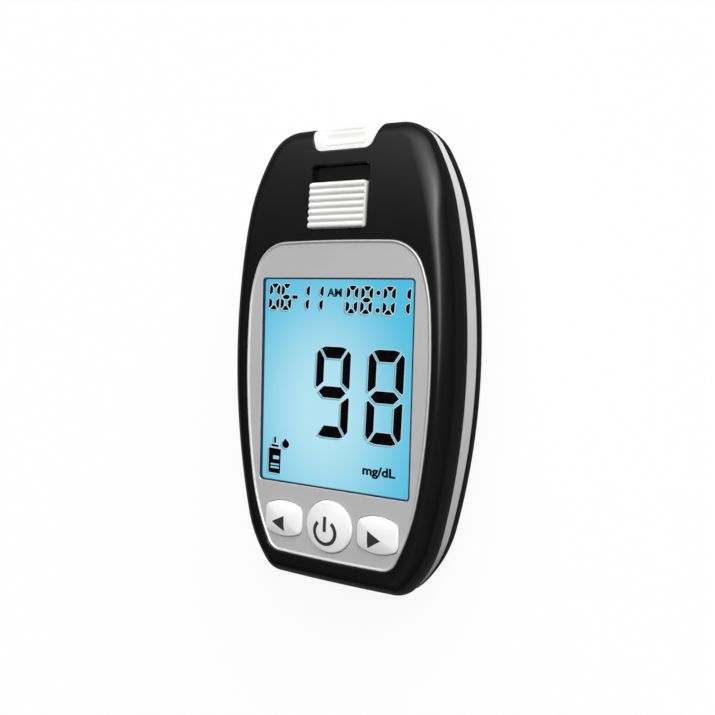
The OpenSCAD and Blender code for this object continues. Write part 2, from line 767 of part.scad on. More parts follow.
module strip_port() {
    scoop_w = slot_w + 2;
    scoop_y = half_l - port_l + 0.9;
    slot_z = strip_z - (slot_h - strip_t) / 2;
    roof_z = slot_z + slot_h + 0.3;
    color([0.96, 0.96, 0.95]) difference() {
        intersection() {
            front_skin(0.2);
            translate([0, 0, board_top]) linear_extrude(front_z) port_plan(-slide_gap / 2);
        }
        block(slot_w, 2 * port_l + 2, slot_h, [0, half_l, slot_z]);
        // Thumb scoop down to the roof of the slot
        translate([-scoop_w / 2, 0, 0]) rotate([90, 0, 90]) linear_extrude(scoop_w)
            polygon([[scoop_y, face_z(scoop_y)], [scoop_y + 0.6, roof_z + 0.5], [half_l + 1, roof_z],
                [half_l + 1, front_z], [scoop_y, front_z]]);
    }
}

module strip_connector() {
    wall = 0.8;
    cave_z = board_top + 0.3;
    color([0.15, 0.15, 0.16]) difference() {
        block(connector_w, connector_l, connector_h, [0, connector_y + connector_l / 2, board_top]);
        translate([-slot_w / 2, connector_y + wall, cave_z])
            cube([slot_w, connector_l, strip_z + strip_t + 0.1 - cave_z]);
        block(3, 2 * wall + 2, strip_t + 0.3, [0, connector_y, strip_z - 0.15]);
    }
}

module strip_contacts() {
    count = 6;
    pitch = 1.15;
    w = 0.4;
    metal = 0.12;
    z = board_top + 0.3;
    rise = strip_z - z - 0.05;
    y0 = connector_y + 0.8;
    y1 = connector_y + connector_l - 0.4;
    crest = y1 - 1.2;
    color([0.85, 0.7, 0.3]) for (i = [0 : count - 1])
        translate([(i - (count - 1) / 2) * pitch - w / 2, 0, 0]) rotate([90, 0, 90]) linear_extrude(w)
            polygon([[y0, z], [y0 + 1, z], [crest, z + rise - metal], [y1, z + metal], [y1, z + 2 * metal],
                [crest, z + rise], [y0 + 1, z + metal], [y0, z + metal]]);
}

// Ribbed slider in the YZ plane: a ramp, then round ribs on a line that follows the face's slope
module rib_profile() {
    top_z = face_z(slider_y) + slider_h;
    fall = (face_z(slider_y) - face_z(slider_y + slider_l)) / slider_l;
    pitch = slider_l / rib_count;
    steps = 8;
    ribs = [for (i = [0 : rib_count - 1], k = [0 : steps - 1])
        if (i > 0 || k >= steps / 2) let (u = k / steps, y = (i + u) * pitch)
            [slider_y + y, top_z - fall * y - rib_depth * pow(abs(2 * u - 1), 3)]];
    polygon(concat([[slider_y, pocket_z + slide_gap / 2], [slider_y, face_z(slider_y) - 0.2]], ribs,
        [[slider_y + slider_l, top_z - fall * slider_l - rib_depth],
            [slider_y + slider_l, pocket_z + slide_gap / 2]]));
}

module ejector_slider() {
    bevel = 0.7;
    z0 = pocket_z + slide_gap / 2;
    color([0.97, 0.97, 0.97]) {
        intersection() {
            translate([-slider_w / 2, 0, 0]) rotate([90, 0, 90]) linear_extrude(slider_w) rib_profile();
            // Side bevels
            translate([0, slider_y + slider_l + 1, 0]) rotate([90, 0, 0]) linear_extrude(slider_l + 2)
                polygon([[-slider_w / 2, z0 - 1], [slider_w / 2, z0 - 1],
                    [slider_w / 2, front_z - bevel + 0.2], [slider_w / 2 - bevel, front_z + slider_h],
                    [-slider_w / 2 + bevel, front_z + slider_h], [-slider_w / 2, front_z - bevel + 0.2]]);
            translate([0, slider_y + slider_l / 2, 0]) linear_extrude(front_z + 2)
                rounded(slider_w, slider_l, 0.7);
        }
        block(stem_w, stem_l, z0 + 0.5 - carriage_top, [0, stem_y + stem_l / 2, carriage_top]);
    }
}

module ejector_carriage() {
    tip_y = connector_y + tongue_in;
    head_y = stem_y + stem_l + carriage_lead;
    bar_l = 1.5;
    overlap = 0.5;
    color([0.9, 0.9, 0.88]) {
        slab(stem_w + 2.4, push_spring_y - overlap, head_y, carriage_top - carriage_z, carriage_z);
        slab(2 * (push_spring_x + stop_w / 2), push_spring_y - bar_l, push_spring_y,
            carriage_top - carriage_z, carriage_z);
        slab(2.4, stem_y, tip_y, strip_t - 0.1, strip_z + 0.05);
    }
}

module ejector_springs() {
    wire = 0.3;
    color([0.75, 0.75, 0.77]) for (s = [-1, 1])
        translate([s * push_spring_x, push_spring_y, push_spring_z]) rotate([-90, 0, 0])
            coil(push_spring_r - wire / 2, push_spring_r - wire / 2, wire, 7, push_spring_l);
}

// ---- Batteries ------------------------------------------------------------------------------

module dry_cell() {
    nub_l = 0.8;
    nub_d = 3.8;
    color([0.35, 0.37, 0.4]) {
        rotate([-90, 0, 0]) cylinder(d = cell_d, h = cell_l - nub_l);
        rotate([-90, 0, 0]) cylinder(d = nub_d, h = cell_l);
    }
}

module left_battery() {
    translate([-cell_pitch / 2, bay_head_y - plate_metal - cell_l, cell_z]) dry_cell();
}

module right_battery() {
    translate([cell_pitch / 2, bay_foot_y + plate_metal + cell_l, cell_z]) rotate([0, 0, 180]) dry_cell();
}

module battery_plates() {
    color([0.8, 0.8, 0.78]) for (s = [-1, 1]) block(contact_w, plate_metal, contact_h,
        [s * cell_pitch / 2, bay_head_y - plate_metal / 2, cell_z - contact_h / 2]);
}

module battery_link() {
    color([0.8, 0.8, 0.78]) block(cell_pitch + contact_w, plate_metal, contact_h,
        [0, bay_foot_y + plate_metal / 2, cell_z - contact_h / 2]);
}

module battery_springs() {
    l = bay_l - cell_l - 2 * plate_metal;
    r0 = 3;
    r1 = 2;
    wire = 0.6;
    turns = 3.5;
    color([0.8, 0.8, 0.8]) {
        translate([-cell_pitch / 2, bay_foot_y + plate_metal, cell_z]) rotate([-90, 0, 0])
            coil(r0, r1, wire, turns, l);
        translate([cell_pitch / 2, bay_head_y - plate_metal, cell_z]) rotate([90, 0, 0])
            coil(r0, r1, wire, turns, l);
    }
}

// ---- Fasteners ------------------------------------------------------------------------------

// Pan head screw with a cross recess, its seat at z = 0 and its shank upward
module screw(d, head_d, head_h, l) {
    difference() {
        union() {
            translate([0, 0, -head_h]) cylinder(d = head_d, h = head_h);
            cylinder(d = d, h = l);
        }
        for (a = [0, 90]) rotate(a) block(head_d * 0.6, head_d * 0.14, head_h * 0.6, [0, 0, -head_h - EPS]);
    }
}

module case_screws() {
    color([0.6, 0.6, 0.62]) for (p = screw_places) translate([p.x, p.y, screw_seat_z])
        screw(screw_core_d, screw_head_d, screw_head_h, screw_l);
}

module board_screws() {
    color([0.6, 0.6, 0.62]) for (p = post_places) translate([p.x, p.y, board_z])
        screw(post_screw_d, post_head_d, post_head_h, post_screw_l);
}

front_cover();
side_band();
back_cover();
faceplate();
display_lens();
lcd_cell();
backlight();
display_tray();
zebra_strips();
main_board();
processor();
memory_chip();
crystal();
buzzer();
switch_domes();
keypad();
left_button();
power_button();
right_button();
strip_port();
strip_connector();
strip_contacts();
ejector_slider();
ejector_carriage();
ejector_springs();
battery_door();
left_battery();
right_battery();
battery_plates();
battery_link();
battery_springs();
case_screws();
board_screws();
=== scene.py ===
"""Looks of a hand-held blood glucose meter that lies on its back.

The classes hold their sizes in millimetres, in the part's own frame: +Z points out of the display,
+Y toward the strip port and +X to the right of the user. Meshes are written in metres.
"""

import logging
import math
from dataclasses import dataclass
from enum import Enum
from typing import Callable, Iterable, Sequence

import bmesh
import bpy
from mathutils import Matrix, Vector
from mathutils.bvhtree import BVHTree


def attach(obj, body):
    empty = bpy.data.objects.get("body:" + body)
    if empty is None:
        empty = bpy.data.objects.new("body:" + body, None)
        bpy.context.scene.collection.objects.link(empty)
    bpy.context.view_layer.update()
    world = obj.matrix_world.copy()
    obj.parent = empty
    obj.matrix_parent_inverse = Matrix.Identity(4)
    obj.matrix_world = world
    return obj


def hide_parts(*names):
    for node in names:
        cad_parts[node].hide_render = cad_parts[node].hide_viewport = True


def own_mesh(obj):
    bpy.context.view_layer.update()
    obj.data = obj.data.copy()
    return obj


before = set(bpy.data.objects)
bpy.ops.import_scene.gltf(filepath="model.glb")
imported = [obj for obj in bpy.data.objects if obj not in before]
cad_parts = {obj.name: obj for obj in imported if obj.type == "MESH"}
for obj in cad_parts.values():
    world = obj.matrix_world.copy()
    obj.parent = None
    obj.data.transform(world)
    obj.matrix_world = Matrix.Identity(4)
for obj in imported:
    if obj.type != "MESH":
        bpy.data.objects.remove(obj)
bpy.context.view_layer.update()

LOG = logging.getLogger("meter")
MM = 0.001
SHARP_ANGLE = 32.0
# How far a cutter runs past what it cuts
PAST = 1.0
# Degrees between the rings of an outer rounding, and the angles of the coarser rings inside the shells
SKIN_STEP = 6.0
INNER_STEPS = (0, 22, 45, 67, 90)

Pair = tuple[float, float]
Triple = tuple[float, float, float]
Ring = list[Triple]
Plan = list[Pair]
Piece = bpy.types.Object
Tree = bpy.types.NodeTree
Node = bpy.types.Node
Material = bpy.types.Material


# ---- Outlines ---------------------------------------------------------------------------------


def sine(angle: float) -> float:
    """Sine of an angle in degrees."""
    return math.sin(math.radians(angle))


def cosine(angle: float) -> float:
    """Cosine of an angle in degrees."""
    return math.cos(math.radians(angle))


@dataclass(frozen=True)
class EdgePoint:
    """A point of an outline in millimetres, and the direction that it faces in degrees."""

    x: float
    y: float
    facing: float

    def inside(self, depth: float) -> Pair:
        """The point moved into the outline by depth."""
        return self.x - depth * cosine(self.facing), self.y - depth * sine(self.facing)


def unit(angle: float) -> Vector:
    """Unit vector at an angle in degrees."""
    return Vector((cosine(angle), sine(angle)))


def crossing(c0: Vector, r0: float, c1: Vector, r1: float) -> Vector:
    """Finds where two circles cross.

    Args:
        c0: Centre of the first circle.
        r0: Its radius.
        c1: Centre of the second circle.
        r1: Its radius.

    Returns:
        The crossing that lies furthest to the upper right.
    """
    gap = c1 - c0
    along = (r0 * r0 - r1 * r1 + gap.length_squared) / (2 * gap.length)
    across = math.sqrt(max(r0 * r0 - along * along, 0.0))
    middle = c0 + gap.normalized() * along
    side = Vector((-gap.y, gap.x)).normalized() * across
    return max(middle + side, middle - side, key=lambda p: p.x + p.y)


def arc(centre: Vector, radius: float, start: float, stop: float, steps: int) -> list[EdgePoint]:
    """Points of an arc without its last one.

    Args:
        centre: Centre of the arc.
        radius: Radius of the arc.
        start: Angle of the first point, in degrees.
        stop: Angle of the end of the arc.
        steps: Number of points.

    Returns:
        The points, each facing away from the centre.
    """
    points = []
    for i in range(steps):
        angle = start + (stop - start) * i / steps
        place = centre + unit(angle) * radius
        points.append(EdgePoint(place.x, place.y, angle))
    return points


@dataclass(frozen=True)
class Quarter:
    """Quarter of an outline: an end arc, a corner, a shoulder and a bowed side, tangent in turn."""

    half_w: float
    half_l: float
    side_r: float
    shoulder_a: float
    shoulder_r: float
    corner_r: float
    end_r: float
    steps: tuple[int, int, int, int] = (4, 18, 14, 14)

    def points(self) -> list[EdgePoint]:
        """Points from the middle of the end to just before the middle of the side."""
        side_c = Vector((self.half_w - self.side_r, 0.0))
        end_c = Vector((0.0, self.half_l - self.end_r))
        shoulder_c = side_c + unit(self.shoulder_a) * (self.side_r - self.shoulder_r)
        corner_c = crossing(shoulder_c, self.shoulder_r - self.corner_r, end_c, self.end_r - self.corner_r)
        to_corner, from_end = corner_c - shoulder_c, corner_c - end_c
        corner_a = math.degrees(math.atan2(to_corner.y, to_corner.x))
        end_a = math.degrees(math.atan2(from_end.y, from_end.x))
        return (arc(end_c, self.end_r, 90, end_a, self.steps[0])
                + arc(corner_c, self.corner_r, end_a, corner_a, self.steps[1])
                + arc(shoulder_c, self.shoulder_r, corner_a, self.shoulder_a, self.steps[2])
                + arc(side_c, self.side_r, self.shoulder_a, 0, self.steps[3]))


def whole(upper: Quarter, lower: Quarter, centre_y: float = 0.0) -> list[EdgePoint]:
    """Joins two quarters and their mirror images.

    Args:
        upper: Quarter at the +Y end.
        lower: Quarter at the -Y end, drawn as if it were an upper one.
        centre_y: Where the two meet.

    Returns:
        The outline, clockwise from the middle of its upper end.
    """
    right = [EdgePoint(p.x, p.y + centre_y, p.facing) for p in upper.points()]
    right.append(EdgePoint(upper.half_w, centre_y, 0.0))
    right += [EdgePoint(p.x, centre_y - p.y, -p.facing) for p in reversed(lower.points())]
    return right + [EdgePoint(-p.x, p.y, 180 - p.facing) for p in reversed(right[1:-1])]


def inset(line: Sequence[EdgePoint], depth: float) -> Plan:
    """The outline moved in by depth."""
    return [p.inside(depth) for p in line]


def rounded_plan(w: float, l: float, r: float, at: Pair = (0.0, 0.0), steps: int = 8) -> Plan:
    """Rectangle with round corners, clockwise from the middle of its upper side.

    Args:
        w: Width.
        l: Length.
        r: Radius of its corners.
        at: Its centre.
        steps: Points of each corner.

    Returns:
        The points of the rectangle.
    """
    corner = [(w / 2 - r + r * sine(90 * i / steps), l / 2 - r + r * cosine(90 * i / steps))
              for i in range(steps + 1)]
    right = corner + [(x, -y) for x, y in reversed(corner)]
    points = [(0.0, l / 2)] + right + [(0.0, -l / 2)] + [(-x, y) for x, y in reversed(right)]
    return [(x + at[0], y + at[1]) for x, y in points]


def circle_plan(r: float, at: Pair, steps: int = 96) -> Plan:
    """Circle, clockwise from its upper end."""
    return [(at[0] + r * math.sin(math.tau * i / steps), at[1] + r * math.cos(math.tau * i / steps))
            for i in range(steps)]


# ---- The part's sizes -------------------------------------------------------------------------


@dataclass(frozen=True)
class Meter:
    """Sizes in millimetres that more than one piece shares."""

    body_w: float = 54.0
    body_l: float = 95.2
    front_round: float = 4.6
    head_round: float = 3.0
    back_round: float = 4.8
    slope_l: float = 23.1
    slope_r: float = 90.0
    side_wall: float = 1.6
    back_wall: float = 1.5
    band_h: float = 5.2
    band_taper: float = 2.2
    plate_side: float = 5.2
    plate_head: float = 23.5
    plate_foot: float = 5.75
    window_side: float = 3.8
    window_head: float = 7.65
    window_foot: float = 15.0
    flange: float = 0.8
    button_row: float = 13.1
    power_d: float = 10.9
    arrow_w: float = 9.35
    arrow_l: float = 7.6
    key_space: float = 1.2
    button_gap: float = 0.15
    front_z: float = 18.6
    plate_top: float = 18.4
    plate_z: float = 17.6
    lens_z: float = 17.2
    seam_z: float = 13.0
    board_top: float = 13.2
    button_top: float = 19.4
    bay_foot_y: float = -35.6
    bay_head_y: float = 13.0
    contact_t: float = 0.4
    cell_z: float = 6.9
    cell_pitch: float = 10.8
    cell_l: float = 44.5
    upper_screw: Pair = (19.068, 31.0)
    lower_screw: Pair = (18.646, -33.0)

    @property
    def half_l(self) -> float:
        """Half the length of the body."""
        return self.body_l / 2

    @property
    def slope_y(self) -> float:
        """Where the face starts to slope down."""
        return self.half_l - self.slope_l

    @property
    def case_screws(self) -> Plan:
        """Where the four case screws stand."""
        return [(s * x, y) for x, y in (self.upper_screw, self.lower_screw) for s in (-1, 1)]

    @property
    def plate_w(self) -> float:
        """Width of the faceplate."""
        return self.body_w - 2 * self.plate_side

    @property
    def window(self) -> Triple:
        """Half width, foot and head of the display window."""
        return (self.plate_w / 2 - self.window_side, self.plate_foot - self.half_l + self.window_foot,
                self.half_l - self.plate_head - self.window_head)

    def glass_plan(self, grow: float, r: float) -> Plan:
        """Plan of the window's flange, grown by a distance, with corners of radius r."""
        half, foot, head = self.window
        return rounded_plan(2 * (half + self.flange + grow), head - foot + 4 * self.flange + 2 * grow, r,
                            (0, (foot + head) / 2 + self.flange))

    @property
    def button_y(self) -> float:
        """Where the row of buttons lies."""
        return self.button_row - self.half_l

    @property
    def arrow_x(self) -> float:
        """Distance of an arrow button from the middle line."""
        return self.power_d / 2 + self.key_space + self.arrow_w / 2

    def body_line(self) -> list[EdgePoint]:
        """Outline of the body."""
        return whole(Quarter(self.body_w / 2, self.half_l, 155, 11, 46, 8.5, 600),
                     Quarter(self.body_w / 2, self.half_l, 155, 13, 25, 5, 600))

    def plate_line(self) -> list[EdgePoint]:
        """Outline of the faceplate."""
        wide_y = -1.0
        head_y, foot_y = self.half_l - self.plate_head, self.plate_foot - self.half_l
        return whole(Quarter(self.plate_w / 2, head_y - wide_y, 160, 4, 30, 8, 400),
                     Quarter(self.plate_w / 2, wide_y - foot_y, 160, 9, 46, 3.6, 400), wide_y)

    def arrow_line(self) -> list[EdgePoint]:
        """Outline of an arrow button about its own centre."""
        part = Quarter(self.arrow_w / 2, self.arrow_l / 2, 40, 1.7, 3, 1.2, 9.3, (10, 10, 4, 4))
        return whole(part, part)

    def face_z(self, y: float) -> float:
        """Height of the front face at y: level, then an arc down toward the strip end."""
        if y < self.slope_y:
            return self.front_z
        return self.front_z - self.slope_r + math.sqrt(self.slope_r ** 2 - (y - self.slope_y) ** 2)

    def back_seam_z(self, y: float) -> float:
        """Height of the seam between the side band and the back cover at y."""
        return self.seam_z - self.band_h + self.band_taper * (y / self.half_l) ** 2

    def front_ring(self, angle: float, depth: float, base: float, drop: float,
                   w: float | None = None) -> Ring:
        """Ring of the front cover's rounding.

        Args:
            angle: 0 at the base of the rounding and 90 on the face, in degrees.
            depth: How far the whole rounding lies inside the body.
            base: Height of the base.
            drop: How far its top lies under the face.
            w: Width of the rounding, or None for the outer edge's own.

        Returns:
            The ring's points.
        """
        ring = []
        for p in self.body_line():
            up = max(sine(p.facing), 0.0)
            wide = self.front_round + (self.head_round - self.front_round) * up ** 2 if w is None else w
            x, y = p.inside(depth + (1 - cosine(angle)) * wide)
            ring.append((x, y, base + (self.face_z(y) - drop - base) * sine(angle)))
        return ring

    def back_ring(self, angle: float, depth: float, low: float, w: float) -> Ring:
        """Ring of the back cover's rounding, from 90 degrees on its floor to 0 at its seam."""
        ring = []
        for p in self.body_line():
            x, y = p.inside(depth + (1 - cosine(angle)) * w)
            ring.append((x, y, low + (self.back_seam_z(y) - low) * (1 - sine(angle))))
        return ring


METER = Meter()


# ---- Meshes -----------------------------------------------------------------------------------


def linked(name: str, data: bpy.types.ID) -> Piece:
    """Puts a mesh, a camera or a lamp into the scene as an object."""
    piece = bpy.data.objects.new(name, data)
    bpy.context.scene.collection.objects.link(piece)
    return piece


def link_mesh(name: str, points: Iterable[Sequence[float]], faces: Iterable[Sequence[int]]) -> Piece:
    """Makes an object from points in millimetres.

    Args:
        name: Name of the piece.
        points: Its points.
        faces: Its faces, as numbers of points.

    Returns:
        The object, with its place in its mesh and its faces turned outward.
    """
    mesh = bpy.data.meshes.new(name)
    mesh.from_pydata([Vector(p) * MM for p in points], [], [list(f) for f in faces])
    tidy_mesh(mesh)
    return linked(name, mesh)


def tidy_mesh(mesh: bpy.types.Mesh) -> None:
    """Merges the mesh's doubles and turns its faces outward."""
    work = bmesh.new()
    work.from_mesh(mesh)
    bmesh.ops.remove_doubles(work, verts=work.verts, dist=0.002 * MM)
    bmesh.ops.dissolve_degenerate(work, dist=0.001 * MM, edges=work.edges)
    bmesh.ops.recalc_face_normals(work, faces=work.faces)
    work.to_mesh(mesh)
    work.free()
    mesh.update()


def loft(name: str, rings: Sequence[Ring]) -> Piece:
    """Closed solid through rings that run clockwise from the middle of their upper end.

    The two caps are strips across the middle line, so that they may slope along Y.

    Args:
        name: Name of the piece.
        rings: The rings from the lowest to the highest, each with the same even number of points.

    Returns:
        The solid.
    """
    n = len(rings[0])
    half, top = n // 2, (len(rings) - 1) * n
    faces: list[list[int]] = []
    for k in range(len(rings) - 1):
        for i in range(n):
            j = (i + 1) % n
            faces.append([k * n + i, k * n + n + i, k * n + n + j, k * n + j])
    cap = [[0, 1, n - 1], [half - 1, half, half + 1]]
    cap += [[i, i + 1, n - i - 1, n - i] for i in range(1, half - 1)]
    faces += cap
    faces += [[v + top for v in reversed(f)] for f in cap]
    return link_mesh(name, [p for ring in rings for p in ring], faces)


def stacked(name: str, layers: Sequence[Ring]) -> Piece:
    """Closed solid through layers of the same number of points, with one face at each end."""
    n, last = len(layers[0]), (len(layers) - 1) * len(layers[0])
    faces = [[k * n + i, k * n + n + i, k * n + n + (i + 1) % n, k * n + (i + 1) % n]
             for k in range(len(layers) - 1) for i in range(n)]
    faces += [list(range(n)), list(range(last + n - 1, last - 1, -1))]
    return link_mesh(name, [p for layer in layers for p in layer], faces)


def prism(name: str, plan: Plan, low: float, high: float) -> Piece:
    """Upright solid over a plan, from one height to another."""
    return stacked(name, [[(x, y, z) for x, y in plan] for z in (low, high)])


def prism_y(name: str, plan: Plan, low: float, high: float) -> Piece:
    """Solid over a plan in X and Z, from one Y to another."""
    return stacked(name, [[(x, y, z) for x, z in plan] for y in (low, high)])


def prism_x(name: str, plan: Plan, low: float, high: float) -> Piece:
    """Solid over a plan in Y and Z, from one X to another."""
    return stacked(name, [[(x, y, z) for y, z in plan] for x in (low, high)])


def rectangle(low: Sequence[float], high: Sequence[float]) -> Plan:
    """Plan of a rectangle between two corners."""
    return [(low[0], low[1]), (low[0], high[1]), (high[0], high[1]), (high[0], low[1])]


def block(name: str, low: Sequence[float], high: Sequence[float]) -> Piece:
    """Box between two corners, used to cut with and as a plain wall."""
    return prism(name, rectangle(low, high), low[2], high[2])


def flared(name: str, plan: Callable[[float], Plan], low: float, face: Callable[[float], float],
           bevel: float) -> Piece:
    """Cutter whose sides flare at the surface, so that the edge it leaves is bevelled.

    Args:
        name: Name of the cutter.
        plan: Gives the plan grown by a distance.
        low: Height of the cut's floor.
        face: Height of the surface at y.
        bevel: Width of the bevel.

    Returns:
        The cutter.
    """
    past = 0.25
    narrow, wide = plan(0.0), plan(bevel * (1 + past))
    return stacked(name, [[(x, y, low) for x, y in narrow], [(x, y, face(y) - bevel) for x, y in narrow],
                          [(x, y, face(y) + bevel * past) for x, y in wide],
                          [(x, y, METER.front_z + 2 * PAST) for x, y in wide]])


def bake(piece: Piece) -> Piece:
    """Replaces the piece's mesh by what its modifiers make of it."""
    graph = bpy.context.evaluated_depsgraph_get()
    mesh = bpy.data.meshes.new_from_object(piece.evaluated_get(graph), depsgraph=graph)
    piece.modifiers.clear()
    mesh.name = piece.name
    piece.data = mesh
    return piece


def carve(piece: Piece, cutters: Sequence[Piece], operation: str = "DIFFERENCE") -> Piece:
    """Cuts a piece by others, which are then removed.

    Args:
        piece: What is cut.
        cutters: What it is cut by, in turn.
        operation: DIFFERENCE, INTERSECT or UNION.

    Returns:
        The piece with its new mesh.
    """
    for cutter in cutters:
        step = piece.modifiers.new("cut", "BOOLEAN")
        step.operation, step.solver, step.object = operation, "EXACT", cutter
    bake(piece)
    for cutter in cutters:
        bpy.data.objects.remove(cutter)
    tidy_mesh(piece.data)
    return piece


def smooth(piece: Piece) -> None:
    """Shades a piece smooth, apart from its sharp edges."""
    mesh = piece.data
    mesh.polygons.foreach_set("use_smooth", [True] * len(mesh.polygons))
    mesh.set_sharp_from_angle(angle=math.radians(SHARP_ANGLE))
    piece.modifiers.new("face_weight", "WEIGHTED_NORMAL").keep_sharp = True


def bevelled(piece: Piece, width: float, angle: float) -> None:
    """Rounds the edges of a piece that turn by more than an angle in degrees."""
    edge = piece.modifiers.new("edge", "BEVEL")
    edge.width, edge.segments = width * MM, 3
    edge.limit_method, edge.angle_limit = "ANGLE", math.radians(angle)


def joined(name: str, pieces: Sequence[Piece]) -> Piece:
    """Joins closed shells into one piece.

    Args:
        name: Name of the new piece.
        pieces: The shells, which are removed.

    Returns:
        The new piece.
    """
    work = bmesh.new()
    for piece in pieces:
        work.from_mesh(piece.data)
        bpy.data.objects.remove(piece)
    mesh = bpy.data.meshes.new(name)
    work.to_mesh(mesh)
    work.free()
    return linked(name, mesh)


# ---- Nodes and finishes -----------------------------------------------------------------------


def linear(code: str) -> tuple[float, float, float, float]:
    """Turns an sRGB hex colour into a linear one."""
    values = [int(code[i:i + 2], 16) / 255 for i in (1, 3, 5)]
    r, g, b = (v / 12.92 if v <= 0.04045 else ((v + 0.055) / 1.055) ** 2.4 for v in values)
    return r, g, b, 1.0


def add_node(tree: Tree, kind: str, values: dict | None = None, links: dict | None = None,
             **settings: object) -> Node:
    """Adds a node with its settings and links.

    Args:
        tree: The node tree.
        kind: The node's type.
        values: Values of its inputs, by name or number.
        links: For an input's name or number, the node and the output that feed it.
        settings: Its own settings.

    Returns:
        The node.
    """
    node = tree.nodes.new(kind)
    for key, value in settings.items():
        setattr(node, key, value)
    for key, value in (values or {}).items():
        node.inputs[key].default_value = value
    for key, (source, output) in (links or {}).items():
        tree.links.new(source.outputs[output], node.inputs[key])
    return node


def math_node(tree: Tree, operation: str, *terms: float | tuple[Node, int | str]) -> Node:
    """Adds a math node.

    Args:
        tree: The node tree.
        operation: Its operation.
        terms: Its terms in order: a number, or the node and the output that feed the term.

    Returns:
        The node.
    """
    fed = {i: term for i, term in enumerate(terms) if isinstance(term, tuple)}
    fixed = {i: term for i, term in enumerate(terms) if i not in fed}
    return add_node(tree, "ShaderNodeMath", fixed, fed, operation=operation)


def new_material(name: str) -> tuple[Material, Tree]:
    """Makes a material with an empty node tree."""
    material = bpy.data.materials.new(name)
    material.use_nodes = True
    material.node_tree.nodes.clear()
    return material, material.node_tree


@dataclass(frozen=True)
class Finish:
    """A surface with a fine grain and slight changes of tone and gloss.

    Its colour and its second tone are sRGB. The grain and the tone are given by the real width of
    their lumps.
    """

    name: str
    colour: str
    tone: str
    roughness: float
    spread: float = 0.05
    metallic: float = 0.0
    ior: float = 1.5
    coat: float = 0.0
    grain_mm: float = 0.4
    grain_depth_mm: float = 0.004
    tone_mm: float = 8.0

    def make(self) -> Material:
        """Builds the material."""
        material, tree = new_material(self.name)
        place = add_node(tree, "ShaderNodeTexCoord")
        grain = add_node(tree, "ShaderNodeTexNoise", {"Scale": 1 / (self.grain_mm * MM), "Detail": 3.0},
                         {"Vector": (place, "Object")})
        cloud = add_node(tree, "ShaderNodeTexNoise", {"Scale": 1 / (self.tone_mm * MM), "Detail": 4.0},
                         {"Vector": (place, "Object")})
        tone = add_node(tree, "ShaderNodeMapRange", {"From Min": 0.35, "From Max": 0.65},
                        {"Value": (cloud, "Fac")})
        colour = add_node(tree, "ShaderNodeMix", {6: linear(self.colour), 7: linear(self.tone)},
                          {0: (tone, "Result")}, data_type="RGBA")
        gloss = add_node(tree, "ShaderNodeMapRange",
                         {"From Min": 0.3, "From Max": 0.7, "To Min": self.roughness - self.spread,
                          "To Max": self.roughness + self.spread}, {"Value": (grain, "Fac")})
        bump = add_node(tree, "ShaderNodeBump", {"Strength": 1.0, "Distance": self.grain_depth_mm * MM},
                        {"Height": (grain, "Fac")})
        shader = add_node(tree, "ShaderNodeBsdfPrincipled",
                          {"Metallic": self.metallic, "IOR": self.ior, "Coat Weight": self.coat,
                           "Coat Roughness": 0.08},
                          {"Base Color": (colour, 2), "Roughness": (gloss, "Result"),
                           "Normal": (bump, "Normal")})
        add_node(tree, "ShaderNodeOutputMaterial", None, {"Surface": (shader, "BSDF")})
        return material


# Glossy black ABS, injection moulded in a polished tool: nearly black with soft grey reflections
GLOSS_BLACK = Finish("gloss_black_abs", "#0f0f10", "#121213", 0.17, spread=0.03, ior=1.45, grain_mm=0.6,
                     grain_depth_mm=0.0006)
# The same ABS where the tool is spark textured, as on the back: a finer, duller grain
MATT_BLACK = Finish("textured_black_abs", "#0e0e0f", "#121213", 0.42, ior=1.22, grain_mm=0.35,
                    grain_depth_mm=0.012)
# Silver lacquer sprayed on moulded plastic: fine metal flake under a satin clear coat
SILVER_PAINT = Finish("sprayed_silver_lacquer", "#e4e4e5", "#dfdfe0", 0.4, spread=0.03, metallic=0.45,
                      grain_mm=0.12, grain_depth_mm=0.0008, tone_mm=30.0)
# Light grey ABS, injection moulded: a clean pale strip with a soft sheen
BAND_ABS = Finish("moulded_pale_grey_abs", "#ececeb", "#e8e8e7", 0.4, ior=1.3, grain_depth_mm=0.001)
# White ABS keys, injection moulded and polished
KEY_WHITE = Finish("polished_white_abs", "#f4f4f4", "#efefef", 0.16, spread=0.03, coat=0.3,
                   grain_depth_mm=0.0008)
# White acetal, which slides without grease: a little waxy
ACETAL = Finish("moulded_white_acetal", "#f0f0ef", "#e9e9e8", 0.34, grain_depth_mm=0.002)
# Pad printed ink of the key symbols
INK = Finish("pad_printed_grey_ink", "#2c2c2e", "#353537", 0.5, grain_mm=0.1, grain_depth_mm=0.002)
# Painted shade: a thin dark navy line round the window's edge, where shade falls along it
WINDOW_EDGE_SHADE = Finish("painted_shade_window_border", "#0b1526", "#101c30", 0.35, grain_mm=0.2, grain_depth_mm=0.001)
# Liquid crystal between etched glass electrodes, where it blocks the light
SEGMENT = Finish("liquid_crystal_segment", "#020304", "#050608", 0.6, ior=1.1, grain_mm=0.3)
# Glass and epoxy board under a green solder mask: glossy over a faint weave
FR4 = Finish("solder_masked_fr4", "#0b4a26", "#0f5a30", 0.38, coat=0.3, grain_mm=0.5, grain_depth_mm=0.006)
# Moulded chip package: a dull charcoal grain
EPOXY = Finish("moulded_epoxy", "#1c1c1e", "#252527", 0.6, grain_mm=0.15, grain_depth_mm=0.004)
# Nickel plated steel, stamped from strip: bright with a warm cast
STAMPED = Finish("stamped_nickel_steel", "#c9c7c2", "#b9b7b2", 0.28, metallic=1.0, grain_mm=0.2)
# Spring steel, drawn to wire: grey metal with a fine sheen
WIRE = Finish("drawn_spring_steel", "#b3b4b6", "#9d9ea1", 0.3, metallic=1.0, grain_mm=0.1)
